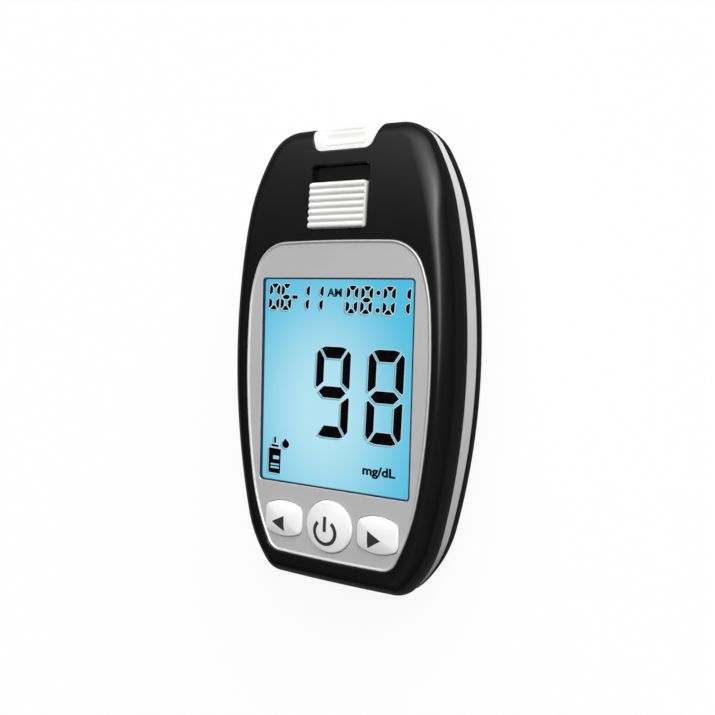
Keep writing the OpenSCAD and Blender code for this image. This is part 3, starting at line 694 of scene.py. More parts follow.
# Phosphor bronze under a gold flash: a soft yellow mirror
GILT = Finish("gold_plated_bronze", "#d9b15c", "#c99e48", 0.24, metallic=1.0, grain_mm=0.1)
# Compression moulded silicone: milky and dull
SILICONE = Finish("moulded_silicone", "#c4c4c2", "#b8b8b6", 0.6, grain_mm=0.3)
# Carbon filled silicone strips: matt near black
RUBBER = Finish("conductive_rubber", "#26262a", "#38383d", 0.7, grain_mm=0.2)
# White polycarbonate, injection moulded: a clean opaque satin
WHITE_PC = Finish("moulded_white_polycarbonate", "#f1f0ec", "#e8e7e2", 0.4)
# Acrylic light guide with a frosted back: pale blue and smooth
GUIDE = Finish("light_guide_acrylic", "#bfe4f4", "#a9d9ef", 0.2, grain_depth_mm=0.001)
# Glass filled nylon, injection moulded: black with a dry grain
FRAME_BLACK = Finish("moulded_black_nylon", "#17171a", "#202024", 0.5, grain_mm=0.3)
# Shrunk PVC sleeve of a dry cell: smooth and glossy over the can
SLEEVE = Finish("shrunk_pvc_sleeve", "#3a4552", "#424e5c", 0.28, coat=0.3, grain_depth_mm=0.001)


@dataclass(frozen=True)
class Glow:
    """The lit liquid crystal: a sky blue light that is palest left of the middle."""

    name: str = "lit_liquid_crystal"
    pale: str = "#b5e4f2"
    deep: str = "#52bfe1"
    centre: Pair = (-3.0, -11.0)
    reach: Pair = (26.0, 36.0)

    def make(self) -> Material:
        """Builds the material."""
        material, tree = new_material(self.name)
        place = add_node(tree, "ShaderNodeTexCoord")
        centred = add_node(tree, "ShaderNodeMapping",
                           {"Location": (-self.centre[0] / self.reach[0], -self.centre[1] / self.reach[1], 0),
                            "Scale": (1 / (self.reach[0] * MM), 1 / (self.reach[1] * MM), 0)},
                           {"Vector": (place, "Object")})
        away = add_node(tree, "ShaderNodeVectorMath", None, {0: (centred, "Vector")}, operation="LENGTH")
        fall = add_node(tree, "ShaderNodeMapRange", {"From Min": 0.1, "From Max": 1.0},
                        {"Value": (away, "Value")}, interpolation_type="SMOOTHSTEP")
        colour = add_node(tree, "ShaderNodeMix", {6: linear(self.pale), 7: linear(self.deep)},
                          {0: (fall, "Result")}, data_type="RGBA")
        lit = add_node(tree, "ShaderNodeBsdfPrincipled",
                       {"Base Color": (0, 0, 0, 1), "Roughness": 0.4, "Specular IOR Level": 0.0,
                        "Emission Strength": 1.0}, {"Emission Color": (colour, 2)})
        add_node(tree, "ShaderNodeOutputMaterial", None, {"Surface": (lit, "BSDF")})
        return material


def clear_acrylic() -> Material:
    """Clear cast acrylic, polished: it only shows by the light that its outer face mirrors."""
    material, tree = new_material("polished_clear_acrylic")
    fresnel = add_node(tree, "ShaderNodeFresnel", {"IOR": 1.25})
    side = add_node(tree, "ShaderNodeNewGeometry")
    outside = math_node(tree, "SUBTRACT", 1.0, (side, "Backfacing"))
    share = math_node(tree, "MULTIPLY", (fresnel, 0), (outside, 0))
    clear = add_node(tree, "ShaderNodeBsdfTransparent")
    mirror = add_node(tree, "ShaderNodeBsdfGlossy", {"Roughness": 0.05})
    both = add_node(tree, "ShaderNodeMixShader", None, {0: (share, 0), 1: (clear, 0), 2: (mirror, 0)})
    add_node(tree, "ShaderNodeOutputMaterial", None, {"Surface": (both, 0)})
    return material


def plain_light(name: str, colour: str, tone: str) -> Material:
    """Layer of the display that is lit from behind, in two close tones; it gives the painted glow and the
    painted shadow round the segments, and the icons' windows.
    """
    material, tree = new_material(name)
    place = add_node(tree, "ShaderNodeTexCoord")
    cloud = add_node(tree, "ShaderNodeTexNoise", {"Scale": 1 / (6 * MM)}, {"Vector": (place, "Object")})
    tone = add_node(tree, "ShaderNodeMix", {6: linear(colour), 7: linear(tone)}, {0: (cloud, "Fac")},
                    data_type="RGBA")
    lit = add_node(tree, "ShaderNodeBsdfPrincipled",
                   {"Base Color": (0, 0, 0, 1), "Specular IOR Level": 0.0, "Emission Strength": 1.0},
                   {"Emission Color": (tone, 2)})
    add_node(tree, "ShaderNodeOutputMaterial", None, {"Surface": (lit, "BSDF")})
    return material


class Shop:
    """Makes each finish once and hands it out."""

    def __init__(self) -> None:
        """Starts with no finish made."""
        self.made: dict[str, Material] = {}

    def get(self, finish: Finish | Glow | Material) -> Material:
        """The material of a finish, or the material itself."""
        if isinstance(finish, Material):
            return finish
        if finish.name not in self.made:
            self.made[finish.name] = finish.make()
        return self.made[finish.name]


SHOP = Shop()


class Body(Enum):
    """The bodies that pieces ride on."""

    HOUSING = "housing"
    LEFT_KEY = "left_key"
    POWER_KEY = "power_key"
    RIGHT_KEY = "right_key"
    EJECTOR = "ejector"
    DOOR = "door"


def dress(piece: Piece, finish: Finish | Glow | Material, body: Body,
          replaces: Sequence[str] = ()) -> Piece:
    """Gives a finished mesh its material and its place in the frame.

    Args:
        piece: The piece.
        finish: Its finish or its material.
        body: The body it rides on.
        replaces: The nodes that it stands for.

    Returns:
        The piece.
    """
    piece.data.materials.clear()
    piece.data.materials.append(SHOP.get(finish))
    smooth(piece)
    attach(piece, body.value)
    if replaces:
        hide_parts(*replaces)
    LOG.info("%s: %d faces on %s", piece.name, len(piece.data.polygons), body.value)
    return piece


def paint_node(name: str, finish: Finish | Glow) -> None:
    """Gives a CAD node its finish."""
    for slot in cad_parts[name].material_slots:
        slot.material = SHOP.get(finish)


# ---- Geometry Nodes ---------------------------------------------------------------------------


def new_tree(name: str, inputs: dict[str, str]) -> tuple[Tree, Node]:
    """Starts a tree that takes and gives a geometry.

    Args:
        name: Name of the tree.
        inputs: Its other inputs, by name, with the type of each.

    Returns:
        The tree and its input node.
    """
    tree = bpy.data.node_groups.new(name, "GeometryNodeTree")
    tree.interface.new_socket("Geometry", in_out="INPUT", socket_type="NodeSocketGeometry")
    for key, kind in (inputs | {"Finish": "NodeSocketMaterial"}).items():
        tree.interface.new_socket(key, in_out="INPUT", socket_type=kind)
    tree.interface.new_socket("Geometry", in_out="OUTPUT", socket_type="NodeSocketGeometry")
    return tree, add_node(tree, "NodeGroupInput")


def end_tree(tree: Tree, source: Node, last: Node, output: str) -> None:
    """Ends a tree with real geometry in its finish."""
    real = add_node(tree, "GeometryNodeRealizeInstances", None, {"Geometry": (last, output)})
    painted = add_node(tree, "GeometryNodeSetMaterial", None,
                       {"Geometry": (real, "Geometry"), "Material": (source, "Finish")})
    add_node(tree, "NodeGroupOutput", None, {"Geometry": (painted, "Geometry")})


def row_tree() -> Tree:
    """Tree that repeats its geometry along a straight line."""
    tree, source = new_tree("row", {"Count": "NodeSocketInt", "Step": "NodeSocketVector"})
    line = add_node(tree, "GeometryNodeMeshLine", None,
                    {"Count": (source, "Count"), "Offset": (source, "Step")})
    copies = add_node(tree, "GeometryNodeInstanceOnPoints", None,
                      {"Points": (line, "Mesh"), "Instance": (source, "Geometry")})
    end_tree(tree, source, copies, "Instances")
    return tree


def four_tree() -> Tree:
    """Tree that puts its geometry at two places and at their mirror places across the middle line."""
    tree, source = new_tree("four", {"Upper": "NodeSocketVector", "Lower": "NodeSocketVector"})
    points = []
    for place in ("Upper", "Lower"):
        flip = add_node(tree, "ShaderNodeVectorMath", {1: (-1.0, 1.0, 1.0)}, {0: (source, place)},
                        operation="MULTIPLY")
        points += [add_node(tree, "GeometryNodePoints", None, {"Position": (source, place)}),
                   add_node(tree, "GeometryNodePoints", None, {"Position": (flip, "Vector")})]
    places = add_node(tree, "GeometryNodeJoinGeometry")
    for point in points:
        tree.links.new(point.outputs[0], places.inputs[0])
    copies = add_node(tree, "GeometryNodeInstanceOnPoints", None,
                      {"Points": (places, "Geometry"), "Instance": (source, "Geometry")})
    end_tree(tree, source, copies, "Instances")
    return tree


def spring_tree() -> Tree:
    """Tree of a coil spring that stands on its origin."""
    tree, source = new_tree("spring", {"Turns": "NodeSocketFloat", "Start Radius": "NodeSocketFloat",
                                       "End Radius": "NodeSocketFloat", "Height": "NodeSocketFloat",
                                       "Wire": "NodeSocketFloat", "Turn": "NodeSocketRotation",
                                       "Place": "NodeSocketVector"})
    coil = add_node(tree, "GeometryNodeCurveSpiral", {"Resolution": 32},
                    {"Rotations": (source, "Turns"), "Start Radius": (source, "Start Radius"),
                     "End Radius": (source, "End Radius"), "Height": (source, "Height")})
    wire = add_node(tree, "GeometryNodeCurvePrimitiveCircle", {"Resolution": 12},
                    {"Radius": (source, "Wire")})
    tube = add_node(tree, "GeometryNodeCurveToMesh", {"Fill Caps": True},
                    {"Curve": (coil, "Curve"), "Profile Curve": (wire, "Curve")})
    placed = add_node(tree, "GeometryNodeTransform", None,
                      {"Geometry": (tube, "Mesh"), "Translation": (source, "Place"),
                       "Rotation": (source, "Turn")})
    end_tree(tree, source, placed, "Geometry")
    return tree


def run_tree(piece: Piece, tree: Tree, values: dict) -> Piece:
    """Turns a piece into what a tree makes of it.

    Args:
        piece: The piece that the tree takes in.
        tree: The tree.
        values: Its inputs by name.

    Returns:
        The piece, with a plain mesh and no modifier.
    """
    step = piece.modifiers.new(tree.name, "NODES")
    step.node_group = tree
    for item in tree.interface.items_tree:
        if item.in_out == "INPUT" and item.name in values:
            step[item.identifier] = values[item.name]
    return bake(piece)


# ---- Housing ----------------------------------------------------------------------------------


def flat_ring(line: Sequence[EdgePoint], depth: float, z: float) -> Ring:
    """Ring of an outline moved in by depth, at one height."""
    return [(x, y, z) for x, y in inset(line, depth)]


def port_plan(grow: float) -> Plan:
    """Plan of the notch for the strip port with its soft inner corners, grown by a distance."""
    inner, outer, depth, past, soft = 6.3, 8.9, 5.2, 1.0, 1.3
    low, high = METER.half_l - depth - grow, METER.half_l + past
    corner = Vector((-inner - grow, low))
    along, up = Vector((soft, 0)), Vector((inner - outer, depth + past)).normalized() * soft
    bend = [corner + along * (1 - t) ** 2 + up * t ** 2 for t in (0, 0.2, 0.4, 0.6, 0.8, 1)]
    left = [(x, y) for x, y in bend] + [(-outer - grow, high)]
    return left + [(-x, y) for x, y in reversed(left)]


def front_skin(name: str, depth: float, bevel: float) -> Piece:
    """Solid inside the front cover's skin.

    Args:
        name: Name of the piece.
        depth: How far it lies inside the skin.
        bevel: Bevel along the seam.

    Returns:
        The solid.
    """
    base = METER.seam_z + bevel
    rings = [flat_ring(METER.body_line(), depth + bevel, METER.seam_z)] if bevel else []
    rings += [METER.front_ring(i * SKIN_STEP, depth, base, depth) for i in range(round(90 / SKIN_STEP) + 1)]
    return loft(name, rings)


def back_skin(name: str) -> Piece:
    """Solid inside the back's skin, up to its seam."""
    return loft(name, [METER.back_ring(90 - i * SKIN_STEP, 0, 0, METER.back_round)
                       for i in range(round(90 / SKIN_STEP) + 1)])


def back_hollow(wall: float, w: float) -> Piece:
    """Room behind a wall of the back, with a rounding of width w."""
    rings = [METER.back_ring(a, wall, METER.back_wall, w) for a in reversed(INNER_STEPS)]
    return loft("hollow", [*rings, flat_ring(METER.body_line(), wall, METER.front_z)])


@dataclass
class Housing:
    """The two black shells and the pale band between them."""

    seam_bevel: float = 0.14
    edge_bevel: float = 0.12
    glass_gap: float = 0.2
    pocket: tuple[float, float, float, float, float] = (13.44, 13.1, 32.75, 16.0, 15.4)
    stem_slot: Triple = (4.4, 30.0, 35.7)
    door_half_w: float = 13.12
    door_head_y: float = 13.32
    door_z: float = 5.62
    screw_seat_z: float = 6.0
    counterbore_r: float = 2.2
    screw_r: float = 1.2
    boss_r: float = 2.3
    band_in: float = 0.15
    band_t: float = 2.2
    bay_half: float = 11.0
    bay_wall: float = 1.2
    bay_top: float = 12.3
    rail_x: float = 14.1
    groove_top: float = 2.45
    roof: float = 1.8
    inner_round: float = 3.0
    recess_gap: float = 0.1
    glass_r: float = 0.3
    pocket_r: float = 0.8
    pocket_bevel: float = 0.3
    notch_bevel: float = 0.2
    well_rim: Pair = (0.35, 0.3)
    seam_lap: float = 0.05
    tub_wall: float = 0.9
    tub_top: float = 16.9
    boss_z: Pair = (12.4, 17.2)
    opening_z: Pair = (14.2, 18.0)
    bore_r: float = 0.91
    bore_z: Pair = (11.4, 15.5)
    hole_z: Pair = (5.0, 13.4)
    column_z: Pair = (1.49, 12.4)
    way_out: tuple[float, float, float, float, float] = (13.2, 1.1, 7.0, 1.53, 2.45)

    def build(self) -> None:
        """Builds and dresses the three pieces."""
        dress(self.front(), GLOSS_BLACK, Body.HOUSING, ["front_cover"])
        dress(self.band(), BAND_ABS, Body.HOUSING, ["side_band"])
        dress(self.back(), MATT_BLACK, Body.HOUSING, ["back_cover"])

    def front(self) -> Piece:
        """The upper shell with the recess of the faceplate and the openings in it."""
        shell = front_skin("upper_shell", 0.0, self.seam_bevel)
        rings = [flat_ring(METER.body_line(), METER.side_wall, METER.seam_z - PAST)]
        rings += [METER.front_ring(a, METER.side_wall, METER.seam_z, self.roof, self.inner_round)
                  for a in INNER_STEPS]
        carve(shell, [loft("hollow", rings)])
        w, l, y, floor, under = self.pocket
        half_w, half_l, slot = w / 2 + self.tub_wall, l / 2 + self.tub_wall, self.stem_slot
        tub = block("tub", (-half_w, y - half_l, under), (half_w, y + half_l, self.tub_top))
        carve(shell, [tub, *[prism("boss", circle_plan(self.boss_r, at, 32), *self.boss_z)
                             for at in METER.case_screws]], "UNION")
        carve(shell, [
            flared("recess", lambda g: inset(METER.plate_line(), -self.recess_gap - g), METER.plate_z,
                   METER.face_z, self.edge_bevel),
            prism("glass", METER.glass_plan(self.glass_gap, self.glass_r), *self.opening_z),
            *[prism("key_hole", plan, *self.opening_z) for plan in key_plans(METER.button_gap)],
            flared("pocket", lambda g: rounded_plan(w + 2 * g, l + 2 * g, self.pocket_r + g, (0, y)), floor,
                   METER.face_z, self.pocket_bevel),
            block("stem_slot", (-slot[0] / 2, slot[1], under - PAST / 2),
                  (slot[0] / 2, slot[2], floor + PAST / 2)),
            flared("notch", port_plan, METER.seam_z - PAST, METER.face_z, self.notch_bevel),
            *[prism("bore", circle_plan(self.bore_r, at, 24), *self.bore_z) for at in METER.case_screws]])
        return shell

    def band(self) -> Piece:
        """The pale ring between the shells."""
        line, b = METER.body_line(), self.edge_bevel
        profile = [(self.band_in + b, 0.0), (self.band_in, b), (self.band_in, -b), (self.band_in + b, 0.0),
                   (self.band_t, 0.0), (self.band_t, 0.0)]
        rings = []
        for i, (depth, dz) in enumerate(profile):
            upper = 2 <= i <= 4
            ring = []
            for p in line:
                x, y = p.inside(depth)
                ring.append((x, y, (METER.seam_z if upper else METER.back_seam_z(p.y) + self.seam_lap) + dz))
            rings.append(ring)
        return tube("pale_band", rings)

    def back(self) -> Piece:
        """The lower shell with the battery bay and the counterbores of the screws."""
        shell = back_skin("lower_shell")
        place = block("door_place", (-self.door_half_w, -METER.body_l, -PAST),
                      (self.door_half_w, self.door_head_y, self.door_z))
        x, half, reach, low, high = self.way_out
        outs = [block("way_out", (s * x - half, -METER.half_l - reach, low),
                      (s * x + half, -METER.half_l + reach, high)) for s in (-1, 1)]
        carve(shell, [back_hollow(METER.side_wall, self.inner_round), place, *outs])
        columns = [prism("column", circle_plan(self.boss_r, at, 32), *self.column_z)
                   for at in METER.case_screws]
        carve(shell, [*self.bay(), *columns], "UNION")
        r, seat, (rim_w, rim_z) = self.counterbore_r, self.screw_seat_z, self.well_rim
        profile = [(0, seat), (r, seat), (r, rim_z), (r + rim_w, -self.seam_lap), (r + rim_w, -PAST),
                   (0, -PAST)]
        wells = []
        for at in METER.case_screws:
            wells += [prism("hole", circle_plan(self.screw_r, at, 32), *self.hole_z),
                      turned("counterbore", profile, at)]
        return carve(shell, wells)

    def bay(self) -> list[Piece]:
        """Walls of the battery bay."""
        foot, head, half = METER.bay_foot_y, METER.bay_head_y, self.bay_half
        rail, groove, floor = self.rail_x, self.groove_top, METER.back_wall - 0.01
        wall, top = self.bay_wall, self.bay_top
        side = [(half, groove), (rail, groove), (rail, floor), (rail + wall, floor),
                (rail + wall, groove + wall), (half + wall, groove + wall), (half + wall, top), (half, top)]
        walls = [prism_y("bay_side", [(s * x, z) for x, z in side], foot - wall, head + wall)
                 for s in (-1, 1)]
        walls += [block("bay_end", (-half - wall / 2, y, groove), (half + wall / 2, y + wall, top))
                  for y in (foot - wall, head)]
        walls.append(block("bay_stop", (-half - wall / 2, self.door_head_y, floor),
                           (half + wall / 2, self.door_head_y + wall, top)))
        return walls


def tube(name: str, rings: Sequence[Ring]) -> Piece:
    """Ring shaped solid through rings, the last joined to the first."""
    n, m = len(rings[0]), len(rings)
    faces = [[k * n + i, (k + 1) % m * n + i, (k + 1) % m * n + (i + 1) % n, k * n + (i + 1) % n]
             for k in range(m) for i in range(n)]
    return link_mesh(name, [p for ring in rings for p in ring], faces)


def turned(name: str, profile: Sequence[Pair], at: Pair, steps: int = 48) -> Piece:
    """Solid turned about an upright axis.

    Args:
        name: Name of the piece.
        profile: Radius and height of each point, from one end of the axis to the other.
        at: Where the axis stands.
        steps: Points round the axis.

    Returns:
        The solid.
    """
    points, faces, rows = [], [], []
    for r, z in profile:
        ring = [(at[0], at[1], z)] if r == 0 else [(at[0] + r * math.cos(math.tau * i / steps),
                                                    at[1] + r * math.sin(math.tau * i / steps), z)
                                                   for i in range(steps)]
        rows.append(list(range(len(points), len(points) + len(ring))))
        points += ring
    for a, b in zip(rows, rows[1:]):
        for i in range(steps):
            j = (i + 1) % steps
            face = [a[i % len(a)], a[j % len(a)], b[j % len(b)], b[i % len(b)]]
            faces.append(list(dict.fromkeys(face)))
    return link_mesh(name, points, [f for f in faces if len(f) > 2])


def key_plans(grow: float) -> list[Plan]:
    """Plans of the three keys, grown by a distance."""
    arrow = inset(METER.arrow_line(), -grow)
    return [circle_plan(METER.power_d / 2 + grow, (0, METER.button_y)),
            *[[(x + s * METER.arrow_x, y + METER.button_y) for x, y in arrow] for s in (-1, 1)]]


@dataclass
class BatteryDoor:
    """The door on the back, which slides off toward the button end."""

    half_w: float = 13.0
    head_y: float = 13.2
    end_z: float = 5.5
    grip_count: int = 6
    grip_pitch: float = 1.7
    grip_r: float = 0.7
    grip_w: float = 16.0
    grip_head: float = 4.0
    hollow_round: float = 3.1
    tongue_x: Pair = (-1.5, 0.6)
    tongue_z: Pair = (1.55, 2.3)

    def build(self) -> None:
        """Builds and dresses the door."""
        door = back_skin("bay_door")
        carve(door, [back_hollow(METER.back_wall, self.hollow_round)])
        limits = rounded_plan(2 * self.half_w, METER.body_l + self.head_y, 1.0,
                              (0, (self.head_y - METER.body_l) / 2))
        carve(door, [prism("limits", limits, -PAST, self.end_z)], "INTERSECT")
        round_bar = [(self.head_y - self.grip_head + self.grip_r * cosine(a),
                      -self.grip_r / 2 + self.grip_r * sine(a)) for a in range(0, 360, 15)]
        grip = prism_x("grip", round_bar, -self.grip_w / 2, self.grip_w / 2)
        run_tree(grip, row_tree(), {"Count": self.grip_count, "Step": (0, -self.grip_pitch * MM, 0)})
        carve(door, [grip])
        low, high = self.tongue_z
        tongues = []
        for s in (-1, 1):
            near, far = sorted(s * (self.half_w + x) for x in self.tongue_x)
            tongues.append(block("tongue", (near, METER.bay_foot_y, low), (far, self.head_y, high)))
        carve(door, tongues, "UNION")
        dress(door, MATT_BLACK, Body.DOOR, ["battery_door"])


# ---- Face -------------------------------------------------------------------------------------


@dataclass
class Face:
    """The silver plate, the window and the lit display under it."""

    rim: tuple[Pair, ...] = ((0.0, 17.6), (0.0, 18.42), (0.04, 18.5), (0.12, 18.57),
                                            (0.22, 18.6), (0.3, 18.597), (0.37, 18.572), (0.44, 18.527),
                                            (0.52, 18.47), (0.6, 18.423), (0.68, 18.404), (0.8, 18.4))
    window_r: float = 0.8
    pane_r: float = 0.7
    flange_gap: float = 0.005
    cut_z: float = 17.0
    bevel: float = 0.12
    key_bevel: float = 0.1
    lens_gap: float = 0.1
    shade_line_in: Pair = (0.02, 0.24)
    shade_line_z: Pair = (17.62, 18.33)

    def build(self) -> None:
        """Builds and dresses the pieces."""
        half, foot, head = METER.window
        middle, length = (foot + head) / 2, head - foot
        plate = loft("silver_plate", [flat_ring(METER.plate_line(), d, z) for d, z in self.rim])

        def opening(grow: float, r: float) -> Plan:
            """Plan of the window, grown by a distance, with corners of radius r."""
            return rounded_plan(2 * (half + grow), length + 2 * grow, r, (0, middle))

        def flat(_: float) -> float:
            """Height of the plate, the same everywhere."""
            return METER.plate_top

        carve(plate, [flared("window", lambda g: opening(g, self.window_r + g), self.cut_z, flat, self.bevel),
                      *[flared("key_hole", lambda g, i=i: key_plans(METER.button_gap + g)[i], self.cut_z,
                               flat, self.key_bevel) for i in range(3)]])
        dress(plate, SILVER_PAINT, Body.HOUSING, ["faceplate"])
        flange = prism("lens_flange", METER.glass_plan(0, METER.flange), METER.lens_z,
                       METER.plate_z - self.flange_gap)
        pane = prism("window_pane", opening(-self.lens_gap, self.pane_r), METER.lens_z,
                     METER.plate_top - self.lens_gap)
        carve(pane, [flange], "UNION")
        dress(pane, clear_acrylic(), Body.HOUSING, ["display_lens"])
        # A thin dark ring just inside the window's edge: painted shade along that edge
        (outer, inner), (low, high) = self.shade_line_in, self.shade_line_z
        rings = [[(x, y, z) for x, y in opening(-d, self.window_r - d / 2)]
                 for d, z in ((outer, low), (outer, high), (inner, high), (inner, low))]
        dress(tube("window_edge_painted_shade", rings), WINDOW_EDGE_SHADE, Body.HOUSING)
        paint_node("lcd_cell", Glow())


@dataclass
class Display:
    """What the liquid crystal shows: an average reading, the time and two icons."""

    floor_z: float = 17.105
    layer: float = 0.012
    # Width of the painted glow round each segment, and the shift of its painted shadow
    halo_grow: float = 0.1
    shade_shift: Pair = (-0.35, -0.3)
    icon_holes: tuple = (((-15.35, -22.36), (-13.8, -21.6)), ((-16.0, -23.65), (-13.8, -23.32)),
                         ((-16.0, -24.35), (-13.8, -23.98)))
    reading: tuple = (("9", (-5.15, -16.3), 8.15, 18.8), ("8", (7.15, -16.55), 8.05, 18.95))
    clock: tuple = (("0", -17.31, 9.75), ("6", -14.25, 9.7), ("1", -9.78, 9.65), ("1", -6.38, 9.6),
                    ("0", 1.83, 9.4), ("8", 5.19, 9.35), ("0", 10.28, 9.3), ("1", 13.6, 9.25))
    clock_size: Pair = (2.7, 5.6)
    dash: tuple[Pair, Pair] = ((-11.18, 12.12), (-9.8, 12.88))
    colon: tuple[Pair, Pair] = ((9.39, 13.63), (9.3, 10.15))
    colon_r: float = 0.5
    units: tuple = (("AM", 0.036, (-2.55, 12.7), (0.96, 14.42)),
                    ("mg/dL", 0.038, (6.77, -23.57), (14.27, -21.05)))

    def build(self) -> None:
        """Builds the segments, a painted pale glow round each and a painted shadow that each casts."""
        shapes = self.figures() + self.icons()
        # The pale edges are a painted glow round each segment; the shades are a painted shadow of each,
        # shifted down to the left.
        pale = plain_light("painted_glow_segment_edge", "#cfecf6", "#d8f0f8")
        shade = plain_light("segment_shade", "#74b4c8", "#6cabc0")
        for name, material, rank, grow, shift in (("segment_shades", shade, 0, 0.1, self.shade_shift),
                                                  ("painted_glow_segment_edges", pale, 1, self.halo_grow, (0, 0)),
                                                  ("segments", SEGMENT, 2, 0.0, (0, 0))):
            z = self.layer_z(rank)
            pieces = [prism(name, grown(shape, grow, shift), z, z + self.layer) for shape in shapes]
            if rank == 2:
                pieces += [self.lettering(*unit, z) for unit in self.units]
            dress(joined(name, pieces), material, Body.HOUSING)
        z = self.layer_z(3)
        holes = [prism("hole", rectangle(low, high), z, z + self.layer) for low, high in self.icon_holes]
        dress(joined("icon_windows", holes), plain_light("icon_window", "#8fd2e8", "#98d6ea"), Body.HOUSING)

    def layer_z(self, rank: int) -> float:
        """Height of one of the thin layers over the glass."""
        return self.floor_z + rank * self.layer * 1.5

    def lettering(self, text: str, weight: float, low: Pair, high: Pair, z: float) -> Piece:
        """A unit in plain letters, fitted into a box.

        Args:
            text: The letters.
            weight: How far their strokes are made wider on each side.
            low: Lower left corner of the box.
            high: Its upper right corner.
            z: Height of its underside.

        Returns:
            The letters as a thin solid.
        """
        curve = bpy.data.curves.new(text, "FONT")
        curve.body, curve.extrude, curve.offset, curve.resolution_u = text, 0.5, weight, 6
        source = linked(text, curve)
        mesh = bpy.data.meshes.new_from_object(source.evaluated_get(bpy.context.evaluated_depsgraph_get()))
        bpy.data.objects.remove(source)
        corners = [[f(v.co[k] for v in mesh.vertices) for k in (0, 1)] for f in (min, max)]
        for v in mesh.vertices:
            share = [(v.co[k] - corners[0][k]) / (corners[1][k] - corners[0][k]) for k in (0, 1)]
            v.co = Vector((low[0] + share[0] * (high[0] - low[0]), low[1] + share[1] * (high[1] - low[1]),
                           z + self.layer * (v.co.z + 0.5))) * MM
        tidy_mesh(mesh)
        return linked(text, mesh)

    def icons(self) -> list[Plan]:
        """The vial with its cap and needle, and the drop."""
        drop = [(-12.21, -17.58)] + [(-12.16 + 0.94 * cosine(a), -18.85 + 0.89 * sine(a))
                                     for a in range(20, -201, -20)]
        needle = rounded_plan(0.56, 1.5, 0.24, (-14.91, -18.18), 4)
        cap = [(-15.86, -19.68), (-15.92, -19.12), (-13.95, -19.21), (-13.99, -19.73)]
        vial = [(-16.57, -25.35), (-16.54, -19.95), (-13.32, -20.06), (-13.48, -25.47)]
        return [drop, needle, cap, vial]

    def figures(self) -> list[Plan]:
        """Every dark shape of the display, as plans."""
        big, small = Digit(upright=1.85, level=2.42, slant=0.028), Digit(upright=0.84, level=0.95, slant=0.07)
        shapes = [plan for figure in self.reading for plan in big.draw(*figure)]
        shapes += [plan for figure, x, y in self.clock
                   for plan in small.draw(figure, (x, y), *self.clock_size)]
        shapes.append(rectangle(*self.dash))
        return shapes + [circle_plan(self.colon_r, at, 20) for at in self.colon]


def grown(plan: Plan, grow: float, shift: Pair) -> Plan:
    """Moves each side of a convex plan out by a distance.

    Args:
        plan: The plan, running clockwise.
        grow: The distance.
        shift: How far the result is moved.

    Returns:
        The new plan.
    """
    n = len(plan)
    result = []
    for i in range(n):
        before, here, after = (Vector(plan[(i + k) % n]) for k in (-1, 0, 1))
        a, b = (here - before).normalized(), (after - here).normalized()
        out = Vector((-a.y - b.y, a.x + b.x))
        scale = grow * 2 / max(out.length_squared, 1.0)
        result.append((here.x + out.x * scale + shift[0], here.y + out.y * scale + shift[1]))
    return result


@dataclass(frozen=True)
class Digit:
    """A seven segment figure."""

    upright: float
    level: float
    slant: float

    SEGMENTS = {"0": "abcdef", "1": "bc", "6": "acdefg", "8": "abcdefg", "9": "abcdfg"}

    def draw(self, figure: str, corner: Pair, w: float, h: float) -> list[Plan]:
        """Plans of the segments of one figure.

        Args:
            figure: The figure.
            corner: Its lower left corner.
            w: Its width.
            h: Its height.

        Returns:
            One plan for each lit segment, clockwise.
        """
        # The corners of each segment, by shares of the strokes' widths
        u, v, half = self.upright, self.level, h / 2
        top = [(u * 0.56, h - v * 0.14), (u * 1.15, h), (w - u * 1.15, h), (w - u * 0.56, h - v * 0.14),
               (w - u * 1.3, h - v), (u * 1.3, h - v)]
        left = [(0, h - v * 0.6), (u * 0.34, h - v * 0.3), (u, h - v * 1.05), (u, half + v * 0.86),
                (u * 0.2, half + v * 0.36), (0, half + v * 0.44)]
        bar = [(u * 0.4, half), (u * 1.05, half + v / 2), (w - u * 1.1, half + v / 2), (w - u * 0.45, half),
               (w - u * 1.1, half - v / 2), (u * 1.05, half - v / 2)]
        right = [(w - x, y) for x, y in reversed(left)]
        plans = {"a": top, "f": left, "b": right, "g": bar,
                 "d": [(x, h - y) for x, y in reversed(top)],
                 "e": [(x, h - y) for x, y in reversed(left)],
                 "c": [(x, h - y) for x, y in reversed(right)]}
        lit = [plans[name] for name in self.SEGMENTS[figure]]
        return [[(corner[0] + x + y * self.slant, corner[1] + y) for x, y in plan] for plan in lit]


# ---- Keys -------------------------------------------------------------------------------------


def triangle(corners: Sequence[Sequence[float]]) -> list[Plan]:
    """Small cells that fill a triangle, in ten rows from its first corner."""
    steps = 10
    tip = Vector(corners[0])
    one, two = ((Vector(corner) - tip) / steps for corner in corners[1:])

    def at(i: int, j: int) -> Pair:
        """Grid point i steps toward the second corner and j toward the third."""
        return tuple(tip + one * i + two * j)

    cells = [[at(i, j), at(i + 1, j), at(i, j + 1)] for i in range(steps) for j in range(steps - i)]
    return cells + [[at(i + 1, j), at(i + 1, j + 1), at(i, j + 1)] for i in range(steps - 1)
                    for j in range(steps - 1 - i)]


